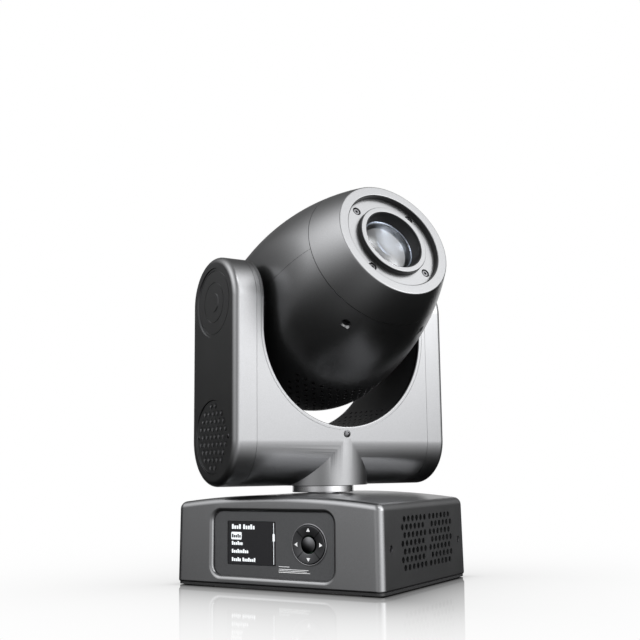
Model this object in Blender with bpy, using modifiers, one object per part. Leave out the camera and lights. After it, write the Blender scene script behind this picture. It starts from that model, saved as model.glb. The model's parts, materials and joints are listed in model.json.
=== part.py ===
"""Moving head light: a low base, a U-shaped yoke that pans on it, and an egg-shaped head that tilts.

Metres, +Z up. The origin is on the pan axis, at the face of the pad under the base, so the feet reach
below zero. The base's display faces -Y. The yoke is modelled facing -Y too, under an empty that turns it
to its rest angle, and the head is modelled pointing up, under an empty on the tilt axis that tips it.
"""

import math

import bmesh
import bpy
from mathutils import Matrix

# Clearances
GAP = 0.0003  # between pieces that touch
RUN = 0.0010  # round a piece that turns
PRESS = 0.0010  # travel of a key
SLACK = 0.0004  # left behind a key that is pressed home

# Base casing
BASE_WIDTH = 0.2350
BASE_DEPTH = 0.1890
BASE_EDGE_HEIGHT = 0.0782
BASE_CROWN = 0.0075
BASE_DRAFT = 0.0009
BASE_CORNER = 0.0075
BASE_TOP_ROUND = 0.0065
BASE_WALL = 0.0030
CROWN_STEPS = 6
FLOOR_PLATE = 0.0030

# Feet, and between them the pad that clamp brackets are fastened to
FOOT_RADIUS = 0.0110
FOOT_TAPER = 0.0005
FOOT_HEIGHT = 0.0030
FOOT_STEM = 0.0035
FOOT_INSET = 0.0200
PAD_HALF_WIDTH = 0.0660
PAD_HALF_DEPTH = 0.0780
PAD_CORNER = 0.0060
PAD_PROUD = 0.0006
BRACKET_HOLE_RADIUS = 0.0040
BRACKET_HOLE_X = 0.0530
BRACKET_HOLE_Y = 0.0650

# Front window, display and keys
WINDOW_WIDTH = 0.1385
WINDOW_HEIGHT = 0.0615
WINDOW_CORNER = 0.0100
WINDOW_X = -0.0030
WINDOW_Z = 0.0390
PANEL_MARGIN = 0.0030
PANEL_THICKNESS = 0.0025
DISPLAY_WIDTH = 0.0572
DISPLAY_HEIGHT = 0.0418
DISPLAY_X = -0.0276
DISPLAY_Z = 0.0398
DISPLAY_FRAME = 0.0040
DISPLAY_THICKNESS = 0.0032
KEYPAD_X = 0.0386
KEYPAD_Z = 0.0402
KEY_OUTER = 0.0178
KEY_INNER = 0.0084
KEY_SPLIT = 0.0008
ENTER_RADIUS = 0.0072
DOME_STEPS = 3
KEY_PROUD = 0.0015
RIM_WIDTH = 0.0014
RIM_PROUD = 0.0010
BOARD_THICKNESS = 0.0016

# Rear window and sockets
REAR_WINDOW_WIDTH = 0.1760
REAR_WINDOW_HEIGHT = 0.0500
REAR_WINDOW_Z = 0.0380
INLET_X = 0.0620
INLET_WIDTH = 0.0280
INLET_HEIGHT = 0.0210
INLET_DEPTH = 0.0240
INLET_WALL = 0.0020
INLET_WELL = 0.0160
BLADE_LENGTH = 0.0100
BLADE_PLACES = ((-0.0070, -0.0030), (0.0, 0.0030), (0.0070, -0.0030))
SOCKET_XS = (-0.0460, -0.0740)
SOCKET_RADIUS = 0.0105
SOCKET_BORE = 0.0085
SOCKET_DEPTH = 0.0200
SOCKET_WELL = 0.0120
SOCKET_PIN = 0.0012
SOCKET_PIN_LENGTH = 0.0060
SOCKET_PIN_CIRCLE = 0.0045
FLANGE_LIP = 0.0025
FLANGE_THICKNESS = 0.0016

# Power supply, between the casing's wall and the pan bracket
SUPPLY_WALL_ROOM = 0.0045
SUPPLY_BRACKET_ROOM = 0.0180
SUPPLY_DEPTH = 0.1000
SUPPLY_HEIGHT = 0.0340
SUPPLY_FOOT = 0.0030

# Pan drive
SHAFT_RADIUS = 0.0160
SHAFT_BORE = 0.0115
SHAFT_NECK = 0.0200
SHAFT_FLANGE = 0.0280
SHAFT_FLANGE_THICKNESS = 0.0047
SHAFT_BELOW_BRACKET = 0.0030
COLLAR_RADIUS = 0.0320
BRACKET_HEIGHT = 0.0520
BRACKET_HALF_WIDTH = 0.0340
BRACKET_FRONT = -0.0340
BRACKET_REAR = 0.0870
SHEET = 0.0030
PAN_BEARING_WALL = 0.0080
PAN_BEARING_WIDTH = 0.0080
PAN_PULLEY_RADIUS = 0.0420
PULLEY_WIDTH = 0.0080
PULLEY_ABOVE_BRACKET = 0.0090
MOTOR_PULLEY_RADIUS = 0.0070
MOTOR_SHAFT = 0.0025
MOTOR_SHAFT_DEPTH = 0.0050
PAN_MOTOR_Y = 0.0620
MOTOR_SIDE = 0.0420
PAN_MOTOR_LENGTH = 0.0380
BELT_THICKNESS = 0.0013
BELT_WIDTH = 0.0060

# Yoke casing
YOKE_HALF_WIDTH = 0.1290
YOKE_RADIUS = 0.0460
YOKE_BOTTOM = 0.0938
TILT_AXIS_HEIGHT = 0.2758
YOKE_WALL = 0.0025
YOKE_EDGE_ROUND = 0.0063
COVER_SEAM = 0.1046
OPENING_RADIUS = 0.0960
OPENING_BOTTOM = 0.1524
NECK_PROUD = 0.0002
LINER_WALL = 0.0020
ARM_DISC_RADIUS = 0.0350
ARM_DISC_DEPTH = 0.0010
ARM_GRILLE_RADIUS = 0.0362
ARM_GRILLE_THICKNESS = 0.0020
ARM_GRILLE_LIFT = 0.0025
YOKE_SCREW_HEIGHT = 0.1450
YOKE_SCREW_RADIUS = 0.0036
YOKE_SCREW_SHANK = 0.0015
YOKE_SCREW_LENGTH = 0.0080
SCREW_HEAD_HEIGHT = 0.0018
SCREW_HEAD_FLAT = 0.0022
SCREW_HEAD_RIM = 0.0006

# Yoke frame and tilt drive
FRAME_FLOOR = 0.1180
FRAME_HALF_WIDTH = 0.1110
FRAME_HALF_DEPTH = 0.0250
FRAME_TOP = 0.3000
TILT_MOTOR_HEIGHT = 0.1650
TILT_MOTOR_LENGTH = 0.0277
TILT_BEARING_WALL = 0.0050
TILT_BEARING_WIDTH = 0.0060
TILT_PULLEY_RADIUS = 0.0320
TILT_PULLEY_X = 0.1140
TRUNNION_RADIUS = 0.0110
TRUNNION_BORE = 0.0060
TRUNNION_FLANGE = 0.0180
TRUNNION_FLANGE_THICKNESS = 0.0030
TRUNNION_LEFT_END = 0.1180
TRUNNION_RIGHT_END = 0.1230

# Head casing: a front arc and a tighter rear arc that meet in a round waist
HEAD_RADIUS = 0.0980
HEAD_FRONT = 0.1419
HEAD_FACE_RADIUS = 0.0619
HEAD_REAR_ARC = 0.1030
HEAD_REAR_START = -0.0150
HEAD_REAR = -0.1080
HEAD_WALL = 0.0025
HEAD_SIDE_CLEARANCE = 0.0040
HEAD_SIDE_SOFTNESS = 0.0140
FRONT_SEAM = 0.1090
REAR_SEAM = -0.1000
CAP_ROUND = 0.0012
REAR_ROUND = 0.0040

# Face of the head, depths below the face
FACE_BORE = 0.0520
PLATE_DEPTH = 0.0057
PLATE_THICKNESS = 0.0050
BEZEL_OUTER = 0.0373
BEZEL_BORE = 0.0320
BEZEL_STRAIGHT = 0.0050
LENS_RIM_DEPTH = 0.0120
LENS_RADIUS = 0.0288
LENS_EDGE = 0.0012
LENS_DOME = 0.0055
LENS_BACK = 0.0020
BEZEL_LENGTH = 0.0170
LENS_SHELF = 0.0020
SCREW_CIRCLE = 0.0450
SCREW_COUNTERBORE = 0.0045
SCREW_HEAD = 0.0037
SCREW_SHANK = 0.0015
SCREW_SUNK = 0.0026
SCREW_SHANK_LENGTH = 0.0050
SOCKET_KEY = 0.0017
SOCKET_KEY_DEPTH = 0.0010

# Inside the head
CHASSIS_SIDE_ROOM = 0.0130
CHASSIS_TOP = 0.0200
CHASSIS_BOTTOM = -0.0450
CHASSIS_HALF_LENGTH = 0.0450
CHASSIS_REAR = -0.0850
CHASSIS_FRONT = 0.1000
CHASSIS_TONGUE = 0.0450
HEATSINK_REAR = -0.0880
HEATSINK_ROOT = -0.0520
HEATSINK_FACE = -0.0420
HEATSINK_HALF = 0.0350
FIN_COUNT = 7
FIN_THICKNESS = 0.0030
COLLIMATOR_BACK = 0.0200
COLLIMATOR_FRONT = 0.0120
COLLIMATOR_LENGTH = 0.0300
FAN_RADIUS = 0.0300
FAN_HUB = 0.0110
FAN_THICKNESS = 0.0050
FAN_BLADES = 7
BLADE_SHARE = 0.6
ROOT_START = 0.75
ROOT_END = 0.85
FAN_Z = -0.0940
WHEEL_RADIUS = 0.0340
WHEEL_OFFSET = 0.0260
WHEEL_THICKNESS = 0.0015
WHEEL_HOLE = 0.0060
WHEEL_HOLES = 8
WHEEL_HUB = 0.0060
WHEEL_HUB_LENGTH = 0.0050
WHEEL_SIDE_ROOM = 0.00697
COLOUR_WHEEL_Z = 0.0200
GOBO_WHEEL_Z = 0.0320
CARRIAGE_Z = 0.0780
CARRIAGE_RADIUS = 0.0240
CARRIAGE_LENGTH = 0.0100
CARRIAGE_LENS = 0.0190
CARRIAGE_FOOT_WIDTH = 0.0200

# Rest pose, from the yoke facing -Y and the head pointing up
PAN_REST = math.radians(64.4)
TILT_REST = math.radians(67.8)

# Facets
FINE = 32
ROUND = 24
SMALL = 12
TINY = 8
ARC = 6
SHARP_ANGLE = math.radians(30)
MERGE = 0.00001

# How level a face is, by the upright part of its normal
LEVEL = 0.8
STEEP = 0.2

# The two other directions that a rod or an outline can be turned to
ALONG_X = Matrix(((0, 0, 1), (1, 0, 0), (0, 1, 0))).to_4x4()
ALONG_Y = Matrix(((0, 1, 0), (0, 0, 1), (1, 0, 0))).to_4x4()
FACING_FRONT = Matrix(((1, 0, 0), (0, 0, -1), (0, 1, 0))).to_4x4()

# Sizes and places that follow from those above
BASE_TOP = BASE_EDGE_HEIGHT + BASE_CROWN
LOWER_ARC_HEIGHT = YOKE_BOTTOM + YOKE_RADIUS
ARM_GRILLE_HEIGHT = LOWER_ARC_HEIGHT + ARM_GRILLE_LIFT
NECK_RADIUS = YOKE_RADIUS + NECK_PROUD
OPENING_CENTRE = OPENING_BOTTOM + OPENING_RADIUS
PANEL_FRONT = BASE_DEPTH / 2 - BASE_DRAFT - BASE_WALL - GAP
PANEL_BACK = PANEL_FRONT - PANEL_THICKNESS
BOARD_FRONT = PANEL_BACK - DISPLAY_THICKNESS - 2 * GAP
PAN_PULLEY_Z = BRACKET_HEIGHT + PULLEY_ABOVE_BRACKET
FACE_PLATE_Z = HEAD_FRONT - PLATE_DEPTH
SUPPLY_OUTER_X = BASE_WIDTH / 2 - BASE_WALL - SUPPLY_WALL_ROOM
SUPPLY_INNER_X = BRACKET_HALF_WIDTH + SUPPLY_BRACKET_ROOM
HEAD_SIDE_START = OPENING_RADIUS - HEAD_SIDE_CLEARANCE - HEAD_SIDE_SOFTNESS
CHASSIS_HALF_WIDTH = HEAD_SIDE_START - CHASSIS_SIDE_ROOM
WHEEL_LEAN = math.acos((CHASSIS_HALF_WIDTH - SHEET - WHEEL_RADIUS - WHEEL_SIDE_ROOM) / WHEEL_OFFSET)

PAINT = ("body_paint", (0.070, 0.072, 0.076), 0.55, 0.38)
DARK = ("dark_plastic", (0.020, 0.020, 0.022), 0.0, 0.50)
PANEL = ("panel_film", (0.030, 0.030, 0.033), 0.0, 0.40)
STEEL = ("zinc_steel", (0.46, 0.46, 0.45), 0.9, 0.38)
SILVER = ("satin_silver", (0.62, 0.62, 0.63), 0.9, 0.28)
RUBBER = ("rubber", (0.015, 0.015, 0.015), 0.0, 0.80)
GLASS = ("lens_glass", (0.80, 0.84, 0.90), 0.0, 0.05)
SCREEN = ("display_glass", (0.012, 0.013, 0.016), 0.0, 0.12)
KEYS = ("key_plastic", (0.060, 0.060, 0.064), 0.2, 0.35)
BOARD = ("circuit_board", (0.020, 0.110, 0.050), 0.0, 0.55)
SCREWS = ("screw_steel", (0.30, 0.30, 0.30), 0.9, 0.32)
ALLOY = ("cast_alloy", (0.55, 0.56, 0.57), 0.8, 0.45)


def clear_scene():
    for thing in list(bpy.data.objects):
        bpy.data.objects.remove(thing, do_unlink=True)


def new_collection(name, hidden=False):
    collection = bpy.data.collections.new(name)
    bpy.context.scene.collection.children.link(collection)
    collection.hide_render = hidden
    return collection


def material(finish):
    name, colour, metallic, roughness = finish
    found = bpy.data.materials.get(name)
    if found:
        return found
    made = bpy.data.materials.new(name)
    made.use_nodes = True
    shader = made.node_tree.nodes["Principled BSDF"]
    shader.inputs["Base Color"].default_value = (*colour, 1.0)
    shader.inputs["Metallic"].default_value = metallic
    shader.inputs["Roughness"].default_value = roughness
    made.diffuse_color = (*colour, 1.0)
    return made


def empty(name, location, rotation, parent=None):
    marker = bpy.data.objects.new(name, None)
    marker.empty_display_size = 0.05
    marker.location = location
    marker.rotation_euler = rotation
    marker.parent = parent
    PARTS.objects.link(marker)
    return marker


def place(name, shape, finish, parent=None, location=(0, 0, 0), rotation=(0, 0, 0)):
    """Turns a bmesh into a named piece."""
    mesh = bpy.data.meshes.new(name)
    shape.to_mesh(mesh)
    shape.free()
    mesh.shade_smooth()
    mesh.set_sharp_from_angle(angle=SHARP_ANGLE)
    mesh.materials.append(material(finish))
    piece = bpy.data.objects.new(name, mesh)
    piece.location = location
    piece.rotation_euler = rotation
    piece.parent = parent
    PARTS.objects.link(piece)
    return piece


def as_tool(piece):
    """Makes a piece a cutter, or a shape to be joined, that isn't a piece itself."""
    PARTS.objects.unlink(piece)
    TOOLS.objects.link(piece)
    piece.hide_render = True
    piece.display_type = "WIRE"
    return piece


def boolean(piece, tool, operation="DIFFERENCE"):
    change = piece.modifiers.new(tool.name, "BOOLEAN")
    change.operation = operation
    change.solver = "EXACT"
    change.object = tool
    return piece


def wall(piece, thickness):
    """Gives an open surface a wall on its inner side."""
    shell = piece.modifiers.new("wall", "SOLIDIFY")
    shell.thickness = thickness
    shell.offset = -1
    shell.use_even_offset = True
    return piece


def block(low, high, edge=0.0):
    """A box from corner to corner, with its edges chamfered."""
    shape = bmesh.new()
    bmesh.ops.create_cube(shape, size=1.0)
    size = [b - a for a, b in zip(low, high)]
    centre = [(a + b) / 2 for a, b in zip(low, high)]
    bmesh.ops.scale(shape, vec=size, verts=shape.verts)
    bmesh.ops.translate(shape, vec=centre, verts=shape.verts)
    if edge:
        bmesh.ops.bevel(shape, geom=shape.edges[:], offset=edge, segments=1, affect="EDGES")
    return shape


def rod(radius, start, end, axis="Z", sides=SMALL, centre=(0, 0)):
    """A cylinder along an axis, from start to end, with its centre on the other two axes."""
    shape = bmesh.new()
    bmesh.ops.create_cone(
        shape, cap_ends=True, segments=sides, radius1=radius, radius2=radius, depth=end - start
    )
    bmesh.ops.translate(shape, vec=(0, 0, (start + end) / 2), verts=shape.verts)
    turns = {"X": ALONG_X, "Y": ALONG_Y}
    if axis in turns:
        bmesh.ops.transform(shape, matrix=turns[axis], verts=shape.verts)
    shift = {"X": (0, *centre), "Y": (centre[0], 0, centre[1]), "Z": (*centre, 0)}[axis]
    bmesh.ops.translate(shape, vec=shift, verts=shape.verts)
    return shape


def turned(name, profile, finish, steps=ROUND, closed=False, **where):
    """A piece turned round its own Z axis from (radius, height) points that run down its outer side."""
    shape = bmesh.new()
    corners = [shape.verts.new((radius, 0, height)) for radius, height in profile]
    pairs = list(zip(corners, corners[1:]))
    if closed:
        pairs.append((corners[-1], corners[0]))
    for first, second in pairs:
        if first.co.x or second.co.x:
            shape.edges.new((first, second))
    piece = place(name, shape, finish, **where)
    screw = piece.modifiers.new("turn", "SCREW")
    screw.steps = steps
    screw.render_steps = steps
    screw.use_merge_vertices = True
    screw.merge_threshold = MERGE
    screw.use_smooth_shade = True
    return piece


def arc(radius, start, end, steps, centre=(0, 0)):
    """Points on a circle, from one angle to another in degrees."""
    angles = [math.radians(start + (end - start) * step / steps) for step in range(steps + 1)]
    return [(centre[0] + radius * math.cos(a), centre[1] + radius * math.sin(a)) for a in angles]


def circle(radius, sides, centre=(0, 0)):
    """A closed loop of points."""
    return arc(radius, 0, 360 - 360 / sides, sides - 1, centre)


def outline(loops, thickness, plane="XY", offset=0.0):
    """A flat shape, with any holes, given a thickness about an offset from its plane."""
    curve = bpy.data.curves.new("outline", "CURVE")
    curve.dimensions = "2D"
    curve.fill_mode = "BOTH"
    curve.extrude = thickness / 2
    for points in loops:
        spline = curve.splines.new("POLY")
        spline.points.add(len(points) - 1)
        for target, (across, up) in zip(spline.points, points):
            target.co = (across, up, 0, 1)
        spline.use_cyclic_u = True
    helper = bpy.data.objects.new("outline", curve)
    bpy.context.scene.collection.objects.link(helper)
    graph = bpy.context.evaluated_depsgraph_get()
    mesh = bpy.data.meshes.new_from_object(helper.evaluated_get(graph))
    bpy.data.objects.remove(helper)
    shape = bmesh.new()
    shape.from_mesh(mesh)
    bpy.data.meshes.remove(mesh)
    bmesh.ops.remove_doubles(shape, verts=shape.verts, dist=MERGE)
    bmesh.ops.recalc_face_normals(shape, faces=shape.faces)
    bmesh.ops.translate(shape, vec=(0, 0, offset), verts=shape.verts)
    turns = {"YZ": ALONG_X, "XZ": FACING_FRONT}
    if plane in turns:
        bmesh.ops.transform(shape, matrix=turns[plane], verts=shape.verts)
    return shape


def rounded(width, height, corner, centre=(0, 0), steps=4):
    """A rectangle with round corners."""
    points = []
    for turn, (side, up) in enumerate(((1, 1), (-1, 1), (-1, -1), (1, -1))):
        middle = (centre[0] + side * (width / 2 - corner), centre[1] + up * (height / 2 - corner))
        points += arc(corner, 90 * turn, 90 * turn + 90, steps, middle)
    return points


def belt_loop(big, small, distance, clearance):
    """The line of a belt round a big pulley at the origin and a small one up the second axis."""
    meet = math.degrees(math.acos((big - small) / distance))
    round_big = arc(big + clearance, 90 + meet, 450 - meet, 5 * ARC)
    round_small = arc(small + clearance, 90 - meet, 90 + meet, ARC, (0, distance))
    return round_big + round_small


def belt(big, small, distance):
    inner = belt_loop(big, small, distance, GAP)
    outer = belt_loop(big, small, distance, GAP + BELT_THICKNESS)
    return [outer, inner]


# Base


def base_shell():
    """A drafted box with a crowned top, open below, with a window front and rear."""
    corner = (BASE_WIDTH / 2, BASE_DEPTH / 2, BASE_EDGE_HEIGHT)
    shape = block((-corner[0], -corner[1], 0), corner)
    upright = [e for e in shape.edges if abs(e.verts[0].co.z - e.verts[1].co.z) > BASE_EDGE_HEIGHT / 2]
    bmesh.ops.bevel(shape, geom=upright, offset=BASE_CORNER, segments=3, profile=0.5, affect="EDGES")
    for step in range(1, CROWN_STEPS):
        across = (BASE_WIDTH / 2 - BASE_CORNER) * (2 * step / CROWN_STEPS - 1)
        everything = shape.verts[:] + shape.edges[:] + shape.faces[:]
        bmesh.ops.bisect_plane(shape, geom=everything, plane_co=(across, 0, 0), plane_no=(1, 0, 0))
    top = [v for v in shape.verts if v.co.z > BASE_EDGE_HEIGHT / 2]
    for vertex in top:
        vertex.co.z += BASE_CROWN * (1 - (2 * vertex.co.x / BASE_WIDTH) ** 2)
        vertex.co.x *= 1 - 2 * BASE_DRAFT / BASE_WIDTH
        vertex.co.y *= 1 - 2 * BASE_DRAFT / BASE_DEPTH
    rim = [e for e in shape.edges if len(e.link_faces) == 2 and top_rim(e)]
    bmesh.ops.bevel(shape, geom=rim, offset=BASE_TOP_ROUND, segments=3, profile=0.5, affect="EDGES")
    floor = [f for f in shape.faces if f.normal.z < -LEVEL]
    bmesh.ops.delete(shape, geom=floor, context="FACES")
    piece = wall(place("base_shell", shape, PAINT), BASE_WALL)
    front = outline([window_loop()], BASE_DEPTH / 2, "XZ", BASE_DEPTH / 2)
    boolean(piece, as_tool(place("front_window", front, PAINT)))
    rear = outline([rear_window_loop()], BASE_DEPTH / 2, "XZ", -BASE_DEPTH / 2)
    boolean(piece, as_tool(place("rear_window", rear, PAINT)))
    hole = rod(SHAFT_RADIUS + RUN, BASE_EDGE_HEIGHT - BASE_WALL, BASE_TOP + BASE_WALL, sides=ROUND)
    boolean(piece, as_tool(place("shaft_hole", hole, PAINT)))
    return piece


def top_rim(edge):
    """An edge between the top and a side wall."""
    lean = sorted(abs(face.normal.z) for face in edge.link_faces)
    return lean[0] < STEEP and lean[1] > LEVEL and edge.verts[0].co.z > BASE_EDGE_HEIGHT / 2


def window_loop(margin=0.0):
    """The front window, or with a margin the plate behind it."""
    width = WINDOW_WIDTH + 2 * margin
    height = WINDOW_HEIGHT + 2 * margin
    return rounded(width, height, WINDOW_CORNER + margin, (WINDOW_X, WINDOW_Z), 5)


def rear_window_loop(margin=0.0):
    width = REAR_WINDOW_WIDTH + 2 * margin
    height = REAR_WINDOW_HEIGHT + 2 * margin
    return rounded(width, height, WINDOW_CORNER / 2 + margin, (0, REAR_WINDOW_Z), 3)


def foot_places():
    reach_x = BASE_WIDTH / 2 - FOOT_INSET
    reach_y = BASE_DEPTH / 2 - FOOT_INSET
    return [(x, y) for y in (-reach_y, reach_y) for x in (-reach_x, reach_x)]


def base_plate():
    """The steel floor, with holes for the feet and a pressed pad that clamp brackets are fastened to."""
    inside_x = BASE_WIDTH - 2 * (BASE_WALL + GAP)
    inside_y = BASE_DEPTH - 2 * (BASE_WALL + GAP)
    loops = [rounded(inside_x, inside_y, BASE_CORNER - BASE_WALL, steps=3)]
    loops += [circle(FOOT_STEM + GAP, SMALL, middle) for middle in foot_places()]
    thickness = FLOOR_PLATE - PAD_PROUD
    piece = place("base_plate", outline(loops, thickness, offset=PAD_PROUD + thickness / 2), STEEL)
    pad_loop = rounded(2 * PAD_HALF_WIDTH, 2 * PAD_HALF_DEPTH, PAD_CORNER, steps=3)
    pad = outline([pad_loop], 2 * PAD_PROUD, offset=PAD_PROUD)
    boolean(piece, as_tool(place("bracket_pad", pad, STEEL)), "UNION")
    middles = [(x, y) for x in (-BRACKET_HOLE_X, BRACKET_HOLE_X) for y in (-BRACKET_HOLE_Y, BRACKET_HOLE_Y)]
    for number, middle in enumerate(middles, 1):
        hole = rod(BRACKET_HOLE_RADIUS, -FLOOR_PLATE, 2 * FLOOR_PLATE, sides=SMALL, centre=middle)
        boolean(piece, as_tool(place(f"bracket_hole_{number}", hole, STEEL)))
    return piece


def feet():
    """Four rubber feet, each pushed through its hole in the plate."""
    lock = FLOOR_PLATE + GAP
    profile = [
        (0, lock + FOOT_STEM / 2),
        (FOOT_STEM, lock + FOOT_STEM / 2),
        (FOOT_STEM + RUN, lock),
        (FOOT_STEM, lock),
        (FOOT_STEM, PAD_PROUD - GAP),
        (FOOT_RADIUS, PAD_PROUD - GAP),
        (FOOT_RADIUS - FOOT_TAPER, -FOOT_HEIGHT),
        (0, -FOOT_HEIGHT),
    ]
    for number, (x, y) in enumerate(foot_places(), 1):
        turned(f"foot_{number}", profile, RUBBER, steps=SMALL, location=(x, y, 0))


def control_panel():
    """The front panel, with a window for the display and a rimmed bore for the keys."""
    screen = rounded(DISPLAY_WIDTH, DISPLAY_HEIGHT, RUN, (DISPLAY_X, DISPLAY_Z), 2)
    keys = circle(KEY_OUTER + GAP, ROUND, (KEYPAD_X, KEYPAD_Z))
    loops = [window_loop(PANEL_MARGIN), screen, keys]
    plate = outline(loops, PANEL_THICKNESS, "XZ", (PANEL_FRONT + PANEL_BACK) / 2)
    piece = place("control_panel", plate, PANEL)
    inner = circle(KEY_OUTER + GAP, ROUND, (KEYPAD_X, KEYPAD_Z))
    outer = circle(KEY_OUTER + GAP + RIM_WIDTH, ROUND, (KEYPAD_X, KEYPAD_Z))
    sunk = PANEL_THICKNESS / 2
    rim = outline([outer, inner], RIM_PROUD + sunk, "XZ", PANEL_FRONT + (RIM_PROUD - sunk) / 2)
    return boolean(piece, as_tool(place("key_rim", rim, PANEL)), "UNION")


def display():
    """The display module, clamped between the panel and the board."""
    width = DISPLAY_WIDTH + 2 * DISPLAY_FRAME
    height = DISPLAY_HEIGHT + 2 * DISPLAY_FRAME
    back = PANEL_BACK - GAP - DISPLAY_THICKNESS
    low = (DISPLAY_X - width / 2, -PANEL_BACK + GAP, DISPLAY_Z - height / 2)
    high = (DISPLAY_X + width / 2, -back, DISPLAY_Z + height / 2)
    return place("display", block(low, high, GAP), SCREEN)


def control_board():
    half_width = WINDOW_WIDTH / 2 - PANEL_MARGIN
    half_height = WINDOW_HEIGHT / 2 - PANEL_MARGIN
    low = (WINDOW_X - half_width, -BOARD_FRONT, WINDOW_Z - half_height)
    high = (WINDOW_X + half_width, BOARD_THICKNESS - BOARD_FRONT, WINDOW_Z + half_height)
    return place("control_board", block(low, high), BOARD)


def arrow_key_loop():
    """A quarter of a ring about the first axis, split from its neighbours along the diagonals."""
    outer_half = 45 - math.degrees(KEY_SPLIT / 2 / KEY_OUTER)
    inner_half = 45 - math.degrees(KEY_SPLIT / 2 / KEY_INNER)
    outer_edge = arc(KEY_OUTER, -outer_half, outer_half, ARC)
    return outer_edge + arc(KEY_INNER, inner_half, -inner_half, ARC // 2)


def keys():
    """Four arrow keys in a ring round a domed centre key, each sliding straight back."""
    back = PANEL_FRONT - BOARD_FRONT - PRESS - SLACK
    travel_face = (KEYPAD_X, -PANEL_FRONT, KEYPAD_Z)
    for name, turn in (("right", 0), ("up", 90), ("left", 180), ("down", 270)):
        shape = outline([arrow_key_loop()], back + KEY_PROUD, "XZ", (KEY_PROUD - back) / 2)
        rotation = Matrix.Rotation(-math.radians(turn), 3, "Y")
        bmesh.ops.rotate(shape, cent=(0, 0, 0), matrix=rotation, verts=shape.verts)
        place(f"key_{name}", shape, KEYS, location=travel_face)
    shares = [step / DOME_STEPS for step in range(DOME_STEPS + 1)]
    dome = [(ENTER_RADIUS * share, KEY_PROUD * (2 - share**2)) for share in shares]
    dome += [(ENTER_RADIUS, -back), (0, -back)]
    turned("key_enter", dome, KEYS, steps=SMALL, location=travel_face, rotation=(math.pi / 2, 0, 0))


def power_supply():
    floor = FLOOR_PLATE + SUPPLY_FOOT
    low = (-SUPPLY_OUTER_X, -SUPPLY_DEPTH / 2, floor)
    high = (-SUPPLY_INNER_X, SUPPLY_DEPTH / 2, floor + SUPPLY_HEIGHT)
    return place("power_supply", block(low, high, RUN), ALLOY)


def rear_panel():
    """The plate behind the rear window, with an opening for each socket."""
    loops = [rear_window_loop(PANEL_MARGIN)]
    inlet = (INLET_WIDTH + 2 * GAP, INLET_HEIGHT + 2 * GAP)
    loops.append(rounded(*inlet, RUN, (INLET_X, REAR_WINDOW_Z), 2))
    loops += [circle(SOCKET_RADIUS + GAP, ROUND, (x, REAR_WINDOW_Z)) for x in SOCKET_XS]
    plate = outline(loops, PANEL_THICKNESS, "XZ", -(PANEL_FRONT + PANEL_BACK) / 2)
    return place("rear_panel", plate, STEEL)


def power_inlet():
    """A square inlet with a flange outside the panel and three blades in its well."""
    face = PANEL_FRONT + GAP + FLANGE_THICKNESS
    centre = (INLET_X, REAR_WINDOW_Z)
    loop = rounded(INLET_WIDTH, INLET_HEIGHT, RUN, centre, 2)
    body = outline([loop], INLET_DEPTH, "XZ", INLET_DEPTH / 2 - face)
    piece = place("power_inlet", body, DARK)
    lip_size = (INLET_WIDTH + 2 * FLANGE_LIP, INLET_HEIGHT + 2 * FLANGE_LIP)
    lip = outline([rounded(*lip_size, RUN, centre, 2)], FLANGE_THICKNESS, "XZ", FLANGE_THICKNESS / 2 - face)
    boolean(piece, as_tool(place("inlet_flange", lip, DARK)), "UNION")
    well_size = (INLET_WIDTH - 2 * INLET_WALL, INLET_HEIGHT - 2 * INLET_WALL)
    well = outline([rounded(*well_size, RUN, centre, 2)], 2 * INLET_WELL, "XZ", -face)
    boolean(piece, as_tool(place("inlet_well", well, DARK)))
    for number, (x, z) in enumerate(BLADE_PLACES, 1):
        low = (INLET_X + x - RUN, face - INLET_WELL - RUN, REAR_WINDOW_Z + z - 2 * RUN)
        high = (INLET_X + x + RUN, face - INLET_WELL + BLADE_LENGTH, REAR_WINDOW_Z + z + 2 * RUN)
        boolean(piece, as_tool(place(f"inlet_blade_{number}", block(low, high), DARK)), "UNION")
    return piece


def signal_sockets():
    """Two round sockets, each a flanged cup with three contacts."""
    face = FLANGE_THICKNESS + GAP
    floor = face - SOCKET_WELL
    cup = [
        (SOCKET_RADIUS + FLANGE_LIP, face),
        (SOCKET_RADIUS + FLANGE_LIP, GAP),
        (SOCKET_RADIUS, GAP),
        (SOCKET_RADIUS, face - SOCKET_DEPTH),
        (0, face - SOCKET_DEPTH),
    ]
    inside = [(0, floor), (SOCKET_BORE, floor), (SOCKET_BORE, face)]
    for name, x in zip(("signal_input", "signal_output"), SOCKET_XS):
        where = {"location": (x, PANEL_FRONT, REAR_WINDOW_Z), "rotation": (-math.pi / 2, 0, 0)}
        piece = turned(name, inside + cup, DARK, steps=ROUND, **where)
        for number, (px, py) in enumerate(arc(SOCKET_PIN_CIRCLE, 90, 330, 2), 1):
            pin = rod(SOCKET_PIN, floor - RUN, floor + SOCKET_PIN_LENGTH, sides=6, centre=(px, py))
            boolean(piece, as_tool(place(f"{name}_pin_{number}", pin, SILVER, **where)), "UNION")


# Pan drive


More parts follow.
